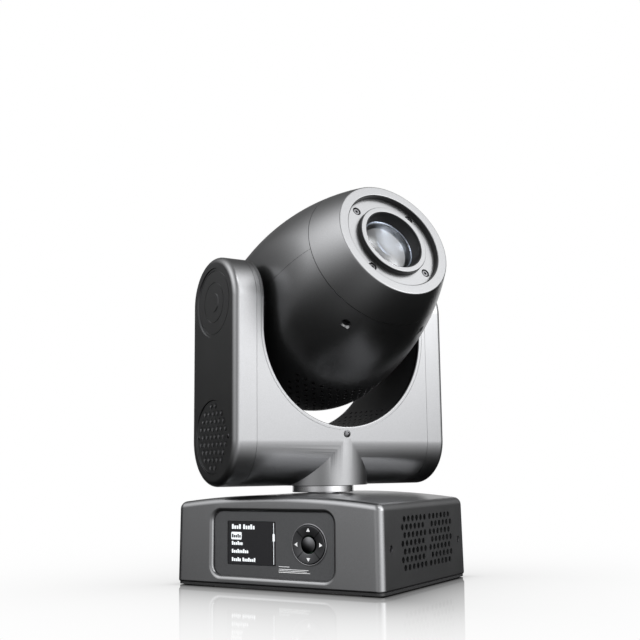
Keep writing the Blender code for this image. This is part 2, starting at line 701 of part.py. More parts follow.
def pan_bracket():
    """A bent sheet bridge that carries the bearing and the motor."""
    out = BRACKET_HALF_WIDTH
    inn = out - SHEET
    foot = FLOOR_PLATE + GAP
    loop = [(-out, foot), (-inn, foot), (-inn, BRACKET_HEIGHT - SHEET), (inn, BRACKET_HEIGHT - SHEET)]
    loop += [(inn, foot), (out, foot), (out, BRACKET_HEIGHT), (-out, BRACKET_HEIGHT)]
    shape = outline([loop], BRACKET_REAR - BRACKET_FRONT, "XZ", -(BRACKET_REAR + BRACKET_FRONT) / 2)
    piece = place("pan_bracket", shape, STEEL)
    low, high = BRACKET_HEIGHT - 2 * SHEET, BRACKET_HEIGHT + SHEET
    bore = rod(SHAFT_RADIUS + PAN_BEARING_WALL + 2 * GAP, low, high, sides=ROUND)
    boolean(piece, as_tool(place("bearing_bore", bore, STEEL)))
    hole = rod(MOTOR_SHAFT + RUN, low, high, sides=SMALL, centre=(0, PAN_MOTOR_Y))
    return boolean(piece, as_tool(place("motor_hole", hole, STEEL)))


def bearing(name, bore, thickness, width, **where):
    """A plain ring from its bore out, centred on its own origin."""
    inner = bore + GAP
    outer = inner + thickness
    half = width / 2
    profile = [(outer, half), (outer, -half), (inner, -half), (inner, half)]
    return turned(name, profile, SILVER, steps=ROUND, closed=True, **where)


def motor(name, length, parent=None, location=(0, 0, 0), rotation=(0, 0, 0)):
    """A square stepper motor below its own origin, with a bore for the pulley's shaft."""
    half = MOTOR_SIDE / 2
    body = block((-half, -half, -length), (half, half, 0), 2 * RUN)
    piece = place(name, body, STEEL, parent, location, rotation)
    bore = rod(MOTOR_SHAFT + GAP, -MOTOR_SHAFT_DEPTH - RUN, RUN, sides=TINY)
    hole = place(f"{name}_bore", bore, STEEL, parent, location, rotation)
    return boolean(piece, as_tool(hole))


def motor_pulley(name, drop, **where):
    """A small pulley centred on its own origin, on a shaft that drops into the motor."""
    half = PULLEY_WIDTH / 2
    profile = [(0, half), (MOTOR_PULLEY_RADIUS, half), (MOTOR_PULLEY_RADIUS, -half)]
    profile += [(MOTOR_SHAFT, -half), (MOTOR_SHAFT, -drop), (0, -drop)]
    return turned(name, profile, ALLOY, steps=SMALL, **where)


def big_pulley(name, radius, bore, **where):
    """A pulley ring centred on its own origin."""
    half = PULLEY_WIDTH / 2
    inner = bore + GAP
    profile = [(radius, half), (radius, -half), (inner, -half), (inner, half)]
    return turned(name, profile, ALLOY, steps=FINE, closed=True, **where)


def pan_shaft():
    """The hollow shaft, with the collar that shows under the yoke and a flange for the yoke's frame."""
    top = FRAME_FLOOR - GAP
    profile = [
        (SHAFT_FLANGE, top),
        (SHAFT_FLANGE, top - SHAFT_FLANGE_THICKNESS),
        (SHAFT_NECK, top - SHAFT_FLANGE_THICKNESS),
        (SHAFT_NECK, YOKE_BOTTOM - GAP),
        (COLLAR_RADIUS, YOKE_BOTTOM - GAP),
        (COLLAR_RADIUS, BASE_TOP + RUN),
        (SHAFT_RADIUS, BASE_TOP + RUN),
        (SHAFT_RADIUS, BRACKET_HEIGHT - SHEET - SHAFT_BELOW_BRACKET),
        (SHAFT_BORE, BRACKET_HEIGHT - SHEET - SHAFT_BELOW_BRACKET),
        (SHAFT_BORE, top),
    ]
    return turned("pan_shaft", profile, SILVER, steps=FINE, closed=True, parent=PAN)


def pan_drive():
    seat = (0, 0, BRACKET_HEIGHT - SHEET / 2)
    bearing("pan_bearing", SHAFT_RADIUS, PAN_BEARING_WALL, PAN_BEARING_WIDTH, location=seat)
    motor("pan_motor", PAN_MOTOR_LENGTH, location=(0, PAN_MOTOR_Y, BRACKET_HEIGHT - SHEET - GAP))
    drop = PAN_PULLEY_Z - BRACKET_HEIGHT + SHEET + GAP + MOTOR_SHAFT_DEPTH
    motor_pulley("pan_motor_pulley", drop, location=(0, PAN_MOTOR_Y, PAN_PULLEY_Z))
    loops = belt(PAN_PULLEY_RADIUS, MOTOR_PULLEY_RADIUS, PAN_MOTOR_Y)
    place("pan_belt", outline(loops, BELT_WIDTH, "XY", PAN_PULLEY_Z), RUBBER)
    height = (0, 0, PAN_PULLEY_Z)
    big_pulley("pan_pulley", PAN_PULLEY_RADIUS, SHAFT_RADIUS, parent=PAN, location=height)


# Yoke


def stadium(radius):
    """The yoke's side outline: round below, straight, and round about the tilt axis."""
    below = arc(radius, 180, 360, 2 * ARC, (0, LOWER_ARC_HEIGHT))
    return below + arc(radius, 0, 180, 2 * ARC, (0, TILT_AXIS_HEIGHT))


def half_stadium(radius, side, parting):
    """The half of that outline on one side of the parting plane."""
    below = [(side * y, z) for y, z in arc(radius, 270, 360, ARC, (0, LOWER_ARC_HEIGHT))]
    above = [(side * y, z) for y, z in arc(radius, 0, 90, ARC, (0, TILT_AXIS_HEIGHT))]
    loop = below + above
    loop[0] = (side * parting, loop[0][1])
    loop[-1] = (side * parting, loop[-1][1])
    return loop


def opening_tool(name, radius, depth):
    """The U between the arms, open above."""
    above = TILT_AXIS_HEIGHT + 2 * YOKE_RADIUS
    loop = arc(radius, 180, 360, 3 * ARC, (0, OPENING_CENTRE)) + [(radius, above), (-radius, above)]
    return as_tool(place(name, outline([loop], depth, "XZ"), PAINT, PAN))


def half_disc(radius, side, parting):
    """Half a circle on one side of the parting plane."""
    points = [(x, side * y) for x, y in arc(radius, 0, 180, 2 * ARC)]
    points[0] = (radius, side * parting)
    points[-1] = (-radius, side * parting)
    return points


def centre_cover(name, side):
    """Half of the yoke's middle casing, front (-1) or rear (+1), with half of the round neck."""
    half = COVER_SEAM - GAP / 2
    body = outline([half_stadium(YOKE_RADIUS, side, GAP / 2)], 2 * half, "YZ")
    piece = place(name, body, PAINT, PAN)
    neck_height = LOWER_ARC_HEIGHT - YOKE_BOTTOM
    middle = YOKE_BOTTOM + neck_height / 2
    neck = outline([half_disc(NECK_RADIUS, side, GAP / 2)], neck_height, "XY", middle)
    boolean(piece, as_tool(place(f"{name}_neck", neck, PAINT, PAN)), "UNION")
    inside = outline([half_stadium(YOKE_RADIUS - YOKE_WALL, side, -YOKE_WALL)], 3 * half, "YZ")
    boolean(piece, as_tool(place(f"{name}_inside", inside, PAINT, PAN)))
    well_loop = half_disc(NECK_RADIUS - YOKE_WALL, side, -YOKE_WALL)
    well = outline([well_loop], neck_height, "XY", middle + YOKE_WALL)
    boolean(piece, as_tool(place(f"{name}_well", well, PAINT, PAN)))
    boolean(piece, opening_tool(f"{name}_opening", OPENING_RADIUS, 4 * YOKE_RADIUS))
    hole = rod(SHAFT_NECK + RUN, YOKE_BOTTOM - RUN, YOKE_BOTTOM + 2 * YOKE_WALL, sides=ROUND)
    boolean(piece, as_tool(place(f"{name}_hole", hole, PAINT, PAN)))
    return piece


def side_cover(name, side):
    """The outer half of an arm: a stadium cap with a shallow disc and a bore for the grille."""
    start = COVER_SEAM + GAP / 2
    depth = YOKE_HALF_WIDTH - start
    shape = outline([stadium(YOKE_RADIUS)], depth, "YZ", side * (start + depth / 2))
    rim = [e for e in shape.edges if all(abs(v.co.x) > YOKE_HALF_WIDTH - RUN for v in e.verts)]
    rim = [e for e in rim if any(abs(f.normal.x) < STEEP for f in e.link_faces)]
    bmesh.ops.bevel(shape, geom=rim, offset=YOKE_EDGE_ROUND, segments=3, profile=0.5, affect="EDGES")
    inner = [f for f in shape.faces if f.normal.x * side < -LEVEL]
    bmesh.ops.delete(shape, geom=inner, context="FACES")
    piece = wall(place(name, shape, PAINT, PAN), YOKE_WALL)
    ends = sorted((side * (YOKE_HALF_WIDTH - ARM_DISC_DEPTH), side * (YOKE_HALF_WIDTH + YOKE_WALL)))
    disc = rod(ARM_DISC_RADIUS, *ends, axis="X", sides=ROUND, centre=(0, TILT_AXIS_HEIGHT))
    boolean(piece, as_tool(place(f"{name}_disc", disc, PAINT, PAN)))
    ends = sorted((side * (YOKE_HALF_WIDTH - 2 * YOKE_WALL), side * (YOKE_HALF_WIDTH + YOKE_WALL)))
    bore = rod(ARM_GRILLE_RADIUS, *ends, axis="X", sides=ROUND, centre=(0, ARM_GRILLE_HEIGHT))
    boolean(piece, as_tool(place(f"{name}_bore", bore, PAINT, PAN)))
    return piece


def arm_grille(name, side):
    """The round vent plate in an arm, set a little below the casing's face."""
    face = side * (YOKE_HALF_WIDTH - ARM_DISC_DEPTH)
    ends = sorted((face, face - side * ARM_GRILLE_THICKNESS))
    radius = ARM_GRILLE_RADIUS - 2 * GAP
    shape = rod(radius, *ends, axis="X", sides=ROUND, centre=(0, ARM_GRILLE_HEIGHT))
    return place(name, shape, DARK, PAN)


def yoke_liner():
    """The inner wall of the U, with a hole for each trunnion."""
    inner = OPENING_RADIUS + GAP
    outer = inner + LINER_WALL
    above = TILT_AXIS_HEIGHT + 2 * YOKE_RADIUS
    loop = arc(outer, 180, 360, 3 * ARC, (0, OPENING_CENTRE)) + [(outer, above), (inner, above)]
    loop += arc(inner, 360, 180, 3 * ARC, (0, OPENING_CENTRE)) + [(-inner, above), (-outer, above)]
    piece = place("yoke_liner", outline([loop], 3 * YOKE_RADIUS, "XZ"), DARK, PAN)
    inside = YOKE_RADIUS - YOKE_WALL - GAP
    trim = outline([stadium(inside)], 3 * YOKE_HALF_WIDTH, "YZ")
    boolean(piece, as_tool(place("liner_trim", trim, DARK, PAN)), "INTERSECT")
    ends = (-YOKE_HALF_WIDTH, YOKE_HALF_WIDTH)
    hole = rod(TRUNNION_RADIUS + 3 * RUN, *ends, "X", ROUND, (0, TILT_AXIS_HEIGHT))
    return boolean(piece, as_tool(place("liner_hole", hole, DARK, PAN)))


def yoke_frame():
    """A bent steel U inside the casing, bored for the bearings and the motor's shaft."""
    out, floor = FRAME_HALF_WIDTH, FRAME_FLOOR
    inn = out - SHEET
    loop = [(-out, floor), (out, floor), (out, FRAME_TOP), (inn, FRAME_TOP), (inn, floor + SHEET)]
    loop += [(-inn, floor + SHEET), (-inn, FRAME_TOP), (-out, FRAME_TOP)]
    piece = place("yoke_frame", outline([loop], 2 * FRAME_HALF_DEPTH, "XZ"), STEEL, PAN)
    ends = (-YOKE_HALF_WIDTH, YOKE_HALF_WIDTH)
    bore = rod(TRUNNION_RADIUS + TILT_BEARING_WALL + 2 * GAP, *ends, "X", ROUND, (0, TILT_AXIS_HEIGHT))
    boolean(piece, as_tool(place("frame_bore", bore, STEEL, PAN)))
    hole = rod(MOTOR_SHAFT + RUN, 0, YOKE_HALF_WIDTH, "X", SMALL, (0, TILT_MOTOR_HEIGHT))
    boolean(piece, as_tool(place("frame_motor_hole", hole, STEEL, PAN)))
    cable = rod(SHAFT_BORE, floor - SHEET, floor + 2 * SHEET, sides=SMALL)
    return boolean(piece, as_tool(place("frame_cable_hole", cable, STEEL, PAN)))


def cross_head_screw(name, head, shank, length, **where):
    """A round-headed screw whose head sits above its own origin."""
    profile = [(0, SCREW_HEAD_HEIGHT), (SCREW_HEAD_FLAT, SCREW_HEAD_HEIGHT), (head, SCREW_HEAD_RIM)]
    profile += [(head, GAP), (shank, GAP), (shank, -length), (0, -length)]
    return turned(name, profile, SCREWS, steps=SMALL, **where)


def tilt_drive():
    """Motor, pulleys and belt in the right arm, and a bearing in each arm of the frame."""
    motor_x = FRAME_HALF_WIDTH - SHEET - GAP
    to_side = (0, math.pi / 2, 0)
    motor("tilt_motor", TILT_MOTOR_LENGTH, PAN, (motor_x, 0, TILT_MOTOR_HEIGHT), to_side)
    pulley_x = TILT_PULLEY_X + PULLEY_WIDTH / 2
    drop = pulley_x - motor_x + MOTOR_SHAFT_DEPTH
    pulley = {"parent": PAN, "location": (pulley_x, 0, TILT_MOTOR_HEIGHT), "rotation": to_side}
    motor_pulley("tilt_motor_pulley", drop, **pulley)
    distance = TILT_AXIS_HEIGHT - TILT_MOTOR_HEIGHT
    loops = belt(TILT_PULLEY_RADIUS, MOTOR_PULLEY_RADIUS, distance)
    loops = [[(y, TILT_AXIS_HEIGHT - z) for y, z in loop] for loop in loops]
    place("tilt_belt", outline(loops, BELT_WIDTH, "YZ", pulley_x), RUBBER, PAN)
    for name, side in (("tilt_bearing_left", -1), ("tilt_bearing_right", 1)):
        centre = (side * (FRAME_HALF_WIDTH - SHEET / 2), 0, TILT_AXIS_HEIGHT)
        seat = {"parent": PAN, "location": centre, "rotation": to_side}
        bearing(name, TRUNNION_RADIUS, TILT_BEARING_WALL, TILT_BEARING_WIDTH, **seat)


def yoke():
    centre_cover("yoke_front_cover", -1)
    centre_cover("yoke_rear_cover", 1)
    for name, side in (("left", -1), ("right", 1)):
        side_cover(f"side_cover_{name}", side)
        arm_grille(f"arm_grille_{name}", side)
    yoke_liner()
    yoke_frame()
    face = (0, -YOKE_RADIUS, YOKE_SCREW_HEIGHT)
    screw = {"parent": PAN, "location": face, "rotation": (math.pi / 2, 0, 0)}
    cross_head_screw("yoke_screw", YOKE_SCREW_RADIUS, YOKE_SCREW_SHANK, YOKE_SCREW_LENGTH, **screw)
    hole = rod(YOKE_SCREW_SHANK + GAP, -2 * YOKE_RADIUS, 0, "Y", TINY, (0, YOKE_SCREW_HEIGHT))
    boolean(bpy.data.objects["yoke_front_cover"], as_tool(place("yoke_screw_hole", hole, PAINT, PAN)))


# Head


def head_radius(height):
    """The casing's radius: a long arc to the face, and a tighter one behind the waist."""
    if height >= 0:
        drop = HEAD_RADIUS - HEAD_FACE_RADIUS
        sweep = (HEAD_FRONT**2 + drop**2) / (2 * drop)
        return HEAD_RADIUS - sweep + math.sqrt(sweep**2 - height**2)
    behind = max(0.0, HEAD_REAR_START - height)
    return HEAD_RADIUS - HEAD_REAR_ARC + math.sqrt(HEAD_REAR_ARC**2 - behind**2)


def squeeze(shape):
    """Eases the casing in at the sides, so that it clears the yoke's arms."""
    for corner in shape.verts:
        over = abs(corner.co.x) - HEAD_SIDE_START
        if over > 0:
            eased = HEAD_SIDE_START + HEAD_SIDE_SOFTNESS * (1 - math.exp(-over / HEAD_SIDE_SOFTNESS))
            corner.co.x = math.copysign(eased, corner.co.x)


def head_profile(low, high, steps):
    heights = [high + (low - high) * step / steps for step in range(steps + 1)]
    return [(head_radius(height), height) for height in heights]


def head_shell(name, side):
    """Half of the casing, above (+1) or below (-1) the plane of the two axes."""
    shape = bmesh.new()
    profile = head_profile(REAR_SEAM + GAP / 2, FRONT_SEAM - GAP / 2, 2 * ARC)
    corners = [shape.verts.new((radius, 0, height)) for radius, height in profile]
    edges = [shape.edges.new(pair) for pair in zip(corners, corners[1:])]
    bmesh.ops.spin(
        shape,
        geom=corners + edges,
        cent=(0, 0, 0),
        axis=(0, 0, 1),
        angle=side * math.pi,
        steps=3 * ARC,
        use_merge=False,
    )
    squeeze(shape)
    bmesh.ops.recalc_face_normals(shape, faces=shape.faces)
    outwards = sum(face.normal.y * side for face in shape.faces)
    if outwards < 0:
        bmesh.ops.reverse_faces(shape, faces=shape.faces)
    piece = wall(place(name, shape, PAINT, TILT), HEAD_WALL)
    across = 2 * HEAD_RADIUS
    ends = sorted((side * GAP / 2, -side * HEAD_WALL))
    parting = block((-across, ends[0], -across), (across, ends[1], across))
    boolean(piece, as_tool(place(f"{name}_parting", parting, PAINT, TILT)))
    hole = rod(TRUNNION_RADIUS + RUN, -YOKE_HALF_WIDTH, YOKE_HALF_WIDTH, "X", ROUND)
    return boolean(piece, as_tool(place(f"{name}_hole", hole, PAINT, TILT)))


def front_cap():
    """The front of the casing: a ring with a flat face, bored for the plate round the lens."""
    outer = head_profile(FRONT_SEAM + GAP / 2, HEAD_FRONT - CAP_ROUND, ARC // 2)
    inner = [(radius - HEAD_WALL, height) for radius, height in outer[::-1]]
    wide, narrow = FACE_BORE + HEAD_WALL, FACE_BORE - HEAD_WALL
    ledge = FACE_PLATE_Z - PLATE_THICKNESS - GAP
    profile = [(FACE_BORE, HEAD_FRONT), (HEAD_FACE_RADIUS, HEAD_FRONT)] + outer + inner[:-1]
    profile += [(inner[-1][0], FACE_PLATE_Z), (wide, FACE_PLATE_Z), (wide, ledge - HEAD_WALL)]
    profile += [(narrow, ledge - HEAD_WALL), (narrow, ledge), (FACE_BORE, ledge)]
    return turned("front_cap", profile, PAINT, steps=FINE, closed=True, parent=TILT)


def rear_cap():
    """The dished cover at the back of the head."""
    rim = REAR_SEAM - GAP / 2
    edge = head_radius(HEAD_REAR)
    start = HEAD_REAR + REAR_ROUND
    inside = HEAD_REAR + HEAD_WALL
    outer = [(head_radius(rim), rim), (head_radius(start), start)]
    outer += [(edge - REAR_ROUND / 2, HEAD_REAR), (0, HEAD_REAR)]
    inner = [(0, inside), (edge - REAR_ROUND, inside), (head_radius(rim) - HEAD_WALL, rim)]
    return turned("rear_cap", outer + inner, DARK, steps=ROUND, closed=True, parent=TILT)


def lens_plate():
    """The flat ring round the lens, counterbored for its four screws."""
    inner = BEZEL_OUTER + GAP
    outer = FACE_BORE - GAP
    low = FACE_PLATE_Z - PLATE_THICKNESS
    profile = [(outer, FACE_PLATE_Z), (outer, low), (inner, low), (inner, FACE_PLATE_Z)]
    piece = turned("lens_plate", profile, PAINT, steps=FINE, closed=True, parent=TILT)
    for number, (x, y) in enumerate(screw_places(), 1):
        ends = (FACE_PLATE_Z - SCREW_SUNK, FACE_PLATE_Z + RUN)
        sink = rod(SCREW_COUNTERBORE, *ends, sides=SMALL, centre=(x, y))
        boolean(piece, as_tool(place(f"screw_sink_{number}", sink, PAINT, TILT)))
        hole = rod(SCREW_SHANK + GAP, low - RUN, FACE_PLATE_Z, sides=TINY, centre=(x, y))
        boolean(piece, as_tool(place(f"screw_hole_{number}", hole, PAINT, TILT)))
    return piece


def screw_places():
    return arc(SCREW_CIRCLE, 45, 315, 3)


def face_screws():
    """Four hexagon socket screws, sunk in the plate."""
    seat = FACE_PLATE_Z - SCREW_SUNK + GAP
    for number, (x, y) in enumerate(screw_places(), 1):
        top = SCREW_HEAD_HEIGHT
        profile = [(0, top), (SCREW_HEAD, top), (SCREW_HEAD, 0), (SCREW_SHANK, 0)]
        profile += [(SCREW_SHANK, -SCREW_SHANK_LENGTH), (0, -SCREW_SHANK_LENGTH)]
        where = {"parent": TILT, "location": (x, y, seat)}
        piece = turned(f"face_screw_{number}", profile, SCREWS, steps=SMALL, **where)
        key = rod(SOCKET_KEY, top - SOCKET_KEY_DEPTH, top + RUN, sides=6)
        boolean(piece, as_tool(place(f"screw_socket_{number}", key, SCREWS, **where)))


def lens_bezel():
    """The proud ring that holds the lens on a shelf at the foot of its cone."""
    rim = HEAD_FRONT - LENS_RIM_DEPTH
    shelf = rim - LENS_EDGE - GAP
    back = HEAD_FRONT - BEZEL_LENGTH
    profile = [
        (BEZEL_OUTER, HEAD_FRONT),
        (BEZEL_OUTER, back),
        (LENS_RADIUS - LENS_SHELF, back),
        (LENS_RADIUS - LENS_SHELF, shelf),
        (LENS_RADIUS + GAP, shelf),
        (LENS_RADIUS + GAP, rim),
        (BEZEL_BORE, HEAD_FRONT - BEZEL_STRAIGHT),
        (BEZEL_BORE, HEAD_FRONT),
    ]
    return turned("lens_bezel", profile, PAINT, steps=FINE, closed=True, parent=TILT)


def front_lens():
    """A lens with a domed front and a shallow back."""
    rim = HEAD_FRONT - LENS_RIM_DEPTH
    edge = rim - LENS_EDGE
    inside = LENS_RADIUS - LENS_SHELF - 2 * GAP
    shares = [step / DOME_STEPS for step in range(DOME_STEPS + 1)]
    front = [(LENS_RADIUS * share, rim + LENS_DOME * (1 - share**2)) for share in shares]
    back = [(inside * share, edge - LENS_BACK * (1 - share**2)) for share in shares[::-1]]
    return turned("front_lens", front + [(LENS_RADIUS, edge)] + back, GLASS, steps=FINE, parent=TILT)


def trunnion(name, side, end):
    """A hollow stub shaft with a flange on the head's chassis."""
    start = CHASSIS_HALF_WIDTH + GAP
    profile = [
        (TRUNNION_RADIUS, end),
        (TRUNNION_RADIUS, start + TRUNNION_FLANGE_THICKNESS),
        (TRUNNION_FLANGE, start + TRUNNION_FLANGE_THICKNESS),
        (TRUNNION_FLANGE, start),
        (TRUNNION_BORE, start),
        (TRUNNION_BORE, end),
    ]
    turn = (0, side * math.pi / 2, 0)
    return turned(name, profile, ALLOY, steps=ROUND, closed=True, parent=TILT, rotation=turn)


def head_chassis():
    """A channel between the trunnions, with a tongue that runs under the optics."""
    out, inn = CHASSIS_HALF_WIDTH, CHASSIS_HALF_WIDTH - SHEET
    low = CHASSIS_BOTTOM
    loop = [(-out, low), (out, low), (out, CHASSIS_TOP), (inn, CHASSIS_TOP), (inn, low + SHEET)]
    loop += [(-inn, low + SHEET), (-inn, CHASSIS_TOP), (-out, CHASSIS_TOP)]
    piece = place("head_chassis", outline([loop], 2 * CHASSIS_HALF_LENGTH, "XY"), STEEL, TILT)
    start = (-CHASSIS_TONGUE, low + GAP, CHASSIS_REAR)
    end = (CHASSIS_TONGUE, low + SHEET - GAP, CHASSIS_FRONT)
    return boolean(piece, as_tool(place("chassis_tongue", block(start, end), STEEL, TILT)), "UNION")


def light_engine():
    """A finned heatsink with a tapered collimator on its face."""
    half = HEATSINK_HALF
    pitch = (2 * half - FIN_THICKNESS) / (FIN_COUNT - 1)
    loop = [(half, HEATSINK_FACE), (-half, HEATSINK_FACE)]
    for fin in range(FIN_COUNT):
        left = -half + fin * pitch
        right = left + FIN_THICKNESS
        loop += [(left, HEATSINK_ROOT), (left, HEATSINK_REAR)]
        loop += [(right, HEATSINK_REAR), (right, HEATSINK_ROOT)]
    loop = [point for number, point in enumerate(loop) if number not in (2, len(loop) - 1)]
    piece = place("light_engine", outline([loop], 2 * half, "XZ"), ALLOY, TILT)
    start = HEATSINK_FACE - RUN
    cone = bmesh.new()
    bmesh.ops.create_cone(
        cone,
        cap_ends=True,
        segments=SMALL,
        radius1=COLLIMATOR_BACK,
        radius2=COLLIMATOR_FRONT,
        depth=COLLIMATOR_LENGTH,
    )
    bmesh.ops.translate(cone, vec=(0, 0, start + COLLIMATOR_LENGTH / 2), verts=cone.verts)
    return boolean(piece, as_tool(place("collimator", cone, ALLOY, TILT)), "UNION")


def fan():
    """A flat rotor: a hub with straight blades."""
    loop = []
    pitch = 360 / FAN_BLADES
    for blade in range(FAN_BLADES):
        start = blade * pitch
        loop += arc(FAN_RADIUS, start, start + BLADE_SHARE * pitch, 3)
        loop += arc(FAN_HUB, start + ROOT_START * pitch, start + ROOT_END * pitch, 1)
    return place("fan", outline([loop], FAN_THICKNESS), DARK, TILT, (0, 0, FAN_Z))


def wheel_places():
    """Where the two wheels' own axes stand, either side of the beam."""
    lean_x = WHEEL_OFFSET * math.cos(WHEEL_LEAN)
    lean_y = WHEEL_OFFSET * math.sin(WHEEL_LEAN)
    return {
        "colour_wheel": (-lean_x, lean_y, COLOUR_WHEEL_Z),
        "gobo_wheel": (lean_x, lean_y, GOBO_WHEEL_Z),
    }


def wheels():
    """Two filter wheels, each with one of its holes in the beam."""
    for name, spot in wheel_places().items():
        beam = math.degrees(math.atan2(-spot[1], -spot[0]))
        loops = [circle(WHEEL_RADIUS, ROUND)]
        for middle in arc(WHEEL_OFFSET, beam, beam + 360, WHEEL_HOLES)[:-1]:
            loops.append(circle(WHEEL_HOLE, TINY, middle))
        piece = place(name, outline(loops, WHEEL_THICKNESS), ALLOY, TILT, spot)
        half = WHEEL_HUB_LENGTH / 2
        hub = place(f"{name}_hub", rod(WHEEL_HUB, -half, half, sides=SMALL), ALLOY, TILT, spot)
        boolean(piece, as_tool(hub), "UNION")


def focus_carriage():
    """A lens cell that slides along the beam above the chassis."""
    half = CARRIAGE_LENGTH / 2
    dish = half / 2
    profile = [(0, dish), (CARRIAGE_LENS, dish / 2), (CARRIAGE_LENS, half), (CARRIAGE_RADIUS, half)]
    profile += [(CARRIAGE_RADIUS, -half), (CARRIAGE_LENS, -half), (CARRIAGE_LENS, -dish / 2), (0, -dish)]
    where = {"parent": TILT, "location": (0, 0, CARRIAGE_Z)}
    piece = turned("focus_carriage", profile, DARK, steps=ROUND, **where)
    wide = CARRIAGE_FOOT_WIDTH / 2
    start = (-wide, CHASSIS_BOTTOM + SHEET + GAP, GAP - half)
    end = (wide, -(CARRIAGE_LENS + CARRIAGE_RADIUS) / 2, half - GAP)
    return boolean(piece, as_tool(place("carriage_foot", block(start, end), DARK, **where)), "UNION")


def head():
    head_shell("upper_shell", 1)
    head_shell("lower_shell", -1)
    front_cap()
    rear_cap()
    lens_plate()
    face_screws()
    lens_bezel()
    front_lens()
    trunnion("trunnion_left", -1, TRUNNION_LEFT_END)
    trunnion("trunnion_right", 1, TRUNNION_RIGHT_END)
    middle = (TILT_PULLEY_X + PULLEY_WIDTH / 2, 0, 0)
    seat = {"parent": TILT, "location": middle, "rotation": (0, math.pi / 2, 0)}
    big_pulley("tilt_pulley", TILT_PULLEY_RADIUS, TRUNNION_RADIUS, **seat)
    head_chassis()
    light_engine()
    fan()
    wheels()
    focus_carriage()


def base():
    base_shell()
    base_plate()
    feet()
    control_panel()
    display()
    control_board()
    keys()
    power_supply()
    rear_panel()
    power_inlet()
    signal_sockets()
    pan_bracket()


clear_scene()
PARTS = new_collection("moving_head_light")
TOOLS = new_collection("tools", hidden=True)
PAN = empty("pan_axis", (0, 0, 0), (0, 0, PAN_REST))
TILT = empty("tilt_axis", (0, 0, TILT_AXIS_HEIGHT), (TILT_REST, 0, 0), PAN)
base()
pan_shaft()
pan_drive()
yoke()
tilt_drive()
head()
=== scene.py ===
# %% [markdown]
# # A moving head light, dressed for a portrait
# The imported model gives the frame: where every piece sits and which body it turns with. This script
# makes the surfaces that the eye sees. Each step says what the piece is on the real light, how it
# could be made, and why this way was taken.

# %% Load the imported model
import json
import math

import bmesh
import bpy
from mathutils import Matrix, Vector


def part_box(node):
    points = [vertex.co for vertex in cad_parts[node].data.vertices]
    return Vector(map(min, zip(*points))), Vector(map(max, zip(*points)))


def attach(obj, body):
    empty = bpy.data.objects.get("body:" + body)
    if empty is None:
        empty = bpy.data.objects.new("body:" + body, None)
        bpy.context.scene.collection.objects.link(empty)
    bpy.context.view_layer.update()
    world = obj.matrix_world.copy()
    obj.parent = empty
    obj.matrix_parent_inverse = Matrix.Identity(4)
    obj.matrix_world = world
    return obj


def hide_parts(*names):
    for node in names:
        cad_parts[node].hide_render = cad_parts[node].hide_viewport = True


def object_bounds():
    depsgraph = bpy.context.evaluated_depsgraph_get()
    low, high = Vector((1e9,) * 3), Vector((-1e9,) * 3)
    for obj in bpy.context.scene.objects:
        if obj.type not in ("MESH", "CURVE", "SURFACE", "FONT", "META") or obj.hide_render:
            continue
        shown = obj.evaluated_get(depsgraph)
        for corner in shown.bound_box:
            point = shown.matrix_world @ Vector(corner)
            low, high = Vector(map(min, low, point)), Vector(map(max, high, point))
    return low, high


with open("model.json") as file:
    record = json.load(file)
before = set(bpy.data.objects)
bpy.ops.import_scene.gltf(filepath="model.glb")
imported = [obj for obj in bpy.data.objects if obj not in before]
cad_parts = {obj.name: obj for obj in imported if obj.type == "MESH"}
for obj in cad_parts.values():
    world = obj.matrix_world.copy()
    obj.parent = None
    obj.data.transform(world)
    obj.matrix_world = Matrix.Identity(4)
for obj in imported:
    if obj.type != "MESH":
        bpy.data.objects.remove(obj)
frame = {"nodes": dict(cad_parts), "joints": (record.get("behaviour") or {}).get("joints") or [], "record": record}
cad_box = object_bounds()
print("model box", [[round(c, 4) for c in corner] for corner in cad_box])

# %% [markdown]
# ## Three frames of reference
# The base stands square to the world. The yoke is turned on it, and the head is tipped in the yoke. It
# is far easier to model each of them upright and to turn the finished mesh into place. The turns could
# be typed in as angles, but the joints already hold them: the tilt joint's axis runs along the yoke, and
# the focus slide runs along the beam.

# %% Work out the frames from the joints
joints = {joint["name"]: joint for joint in frame["joints"]}
tilt_line = Vector(joints["tilt"]["axis"]).normalized()
beam = Vector(joints["focus_slide"]["axis"]).normalized()
upright = Vector((0, 0, 1))


def frame_of(across, along, up, origin=(0, 0, 0)):
    """The matrix that carries a piece modelled upright to where those three directions point."""
    turn = Matrix((across, along, up)).transposed()
    return Matrix.Translation(Vector(origin)) @ turn.to_4x4()


BASE = Matrix.Identity(4)
YOKE = frame_of(tilt_line, upright.cross(tilt_line), upright)
HEAD = frame_of(tilt_line, beam.cross(tilt_line), beam, joints["tilt"]["pos_m"])


def reach(node, place):
    """The lowest and highest corners of a CAD node, seen in one of those frames."""
    back = place.inverted()
    points = [back @ vertex.co for vertex in frame["nodes"][node].data.vertices]
    low = Vector([min(point[axis] for point in points) for axis in range(3)])
    high = Vector([max(point[axis] for point in points) for axis in range(3)])
    return low, high


tilt_height = joints["tilt"]["pos_m"][2]
print("tilt axis", round(tilt_height, 4), "m up; beam", [round(c, 3) for c in beam])

# %% [markdown]
# ## Camera
# The view is a three-quarter one from low down, a little above the base, so that the yoke's underside
# and the head's belly show. A longish lens keeps the upright lines nearly parallel.

# %% Place the camera
CAMERA_PLACE = (0.5269, -0.8743, 0.1109)
CAMERA_YAW = math.radians(31.13)
CAMERA_PITCH = math.radians(8.74)
CAMERA_ROLL = math.radians(0.68)
CAMERA_LENS = 54.22

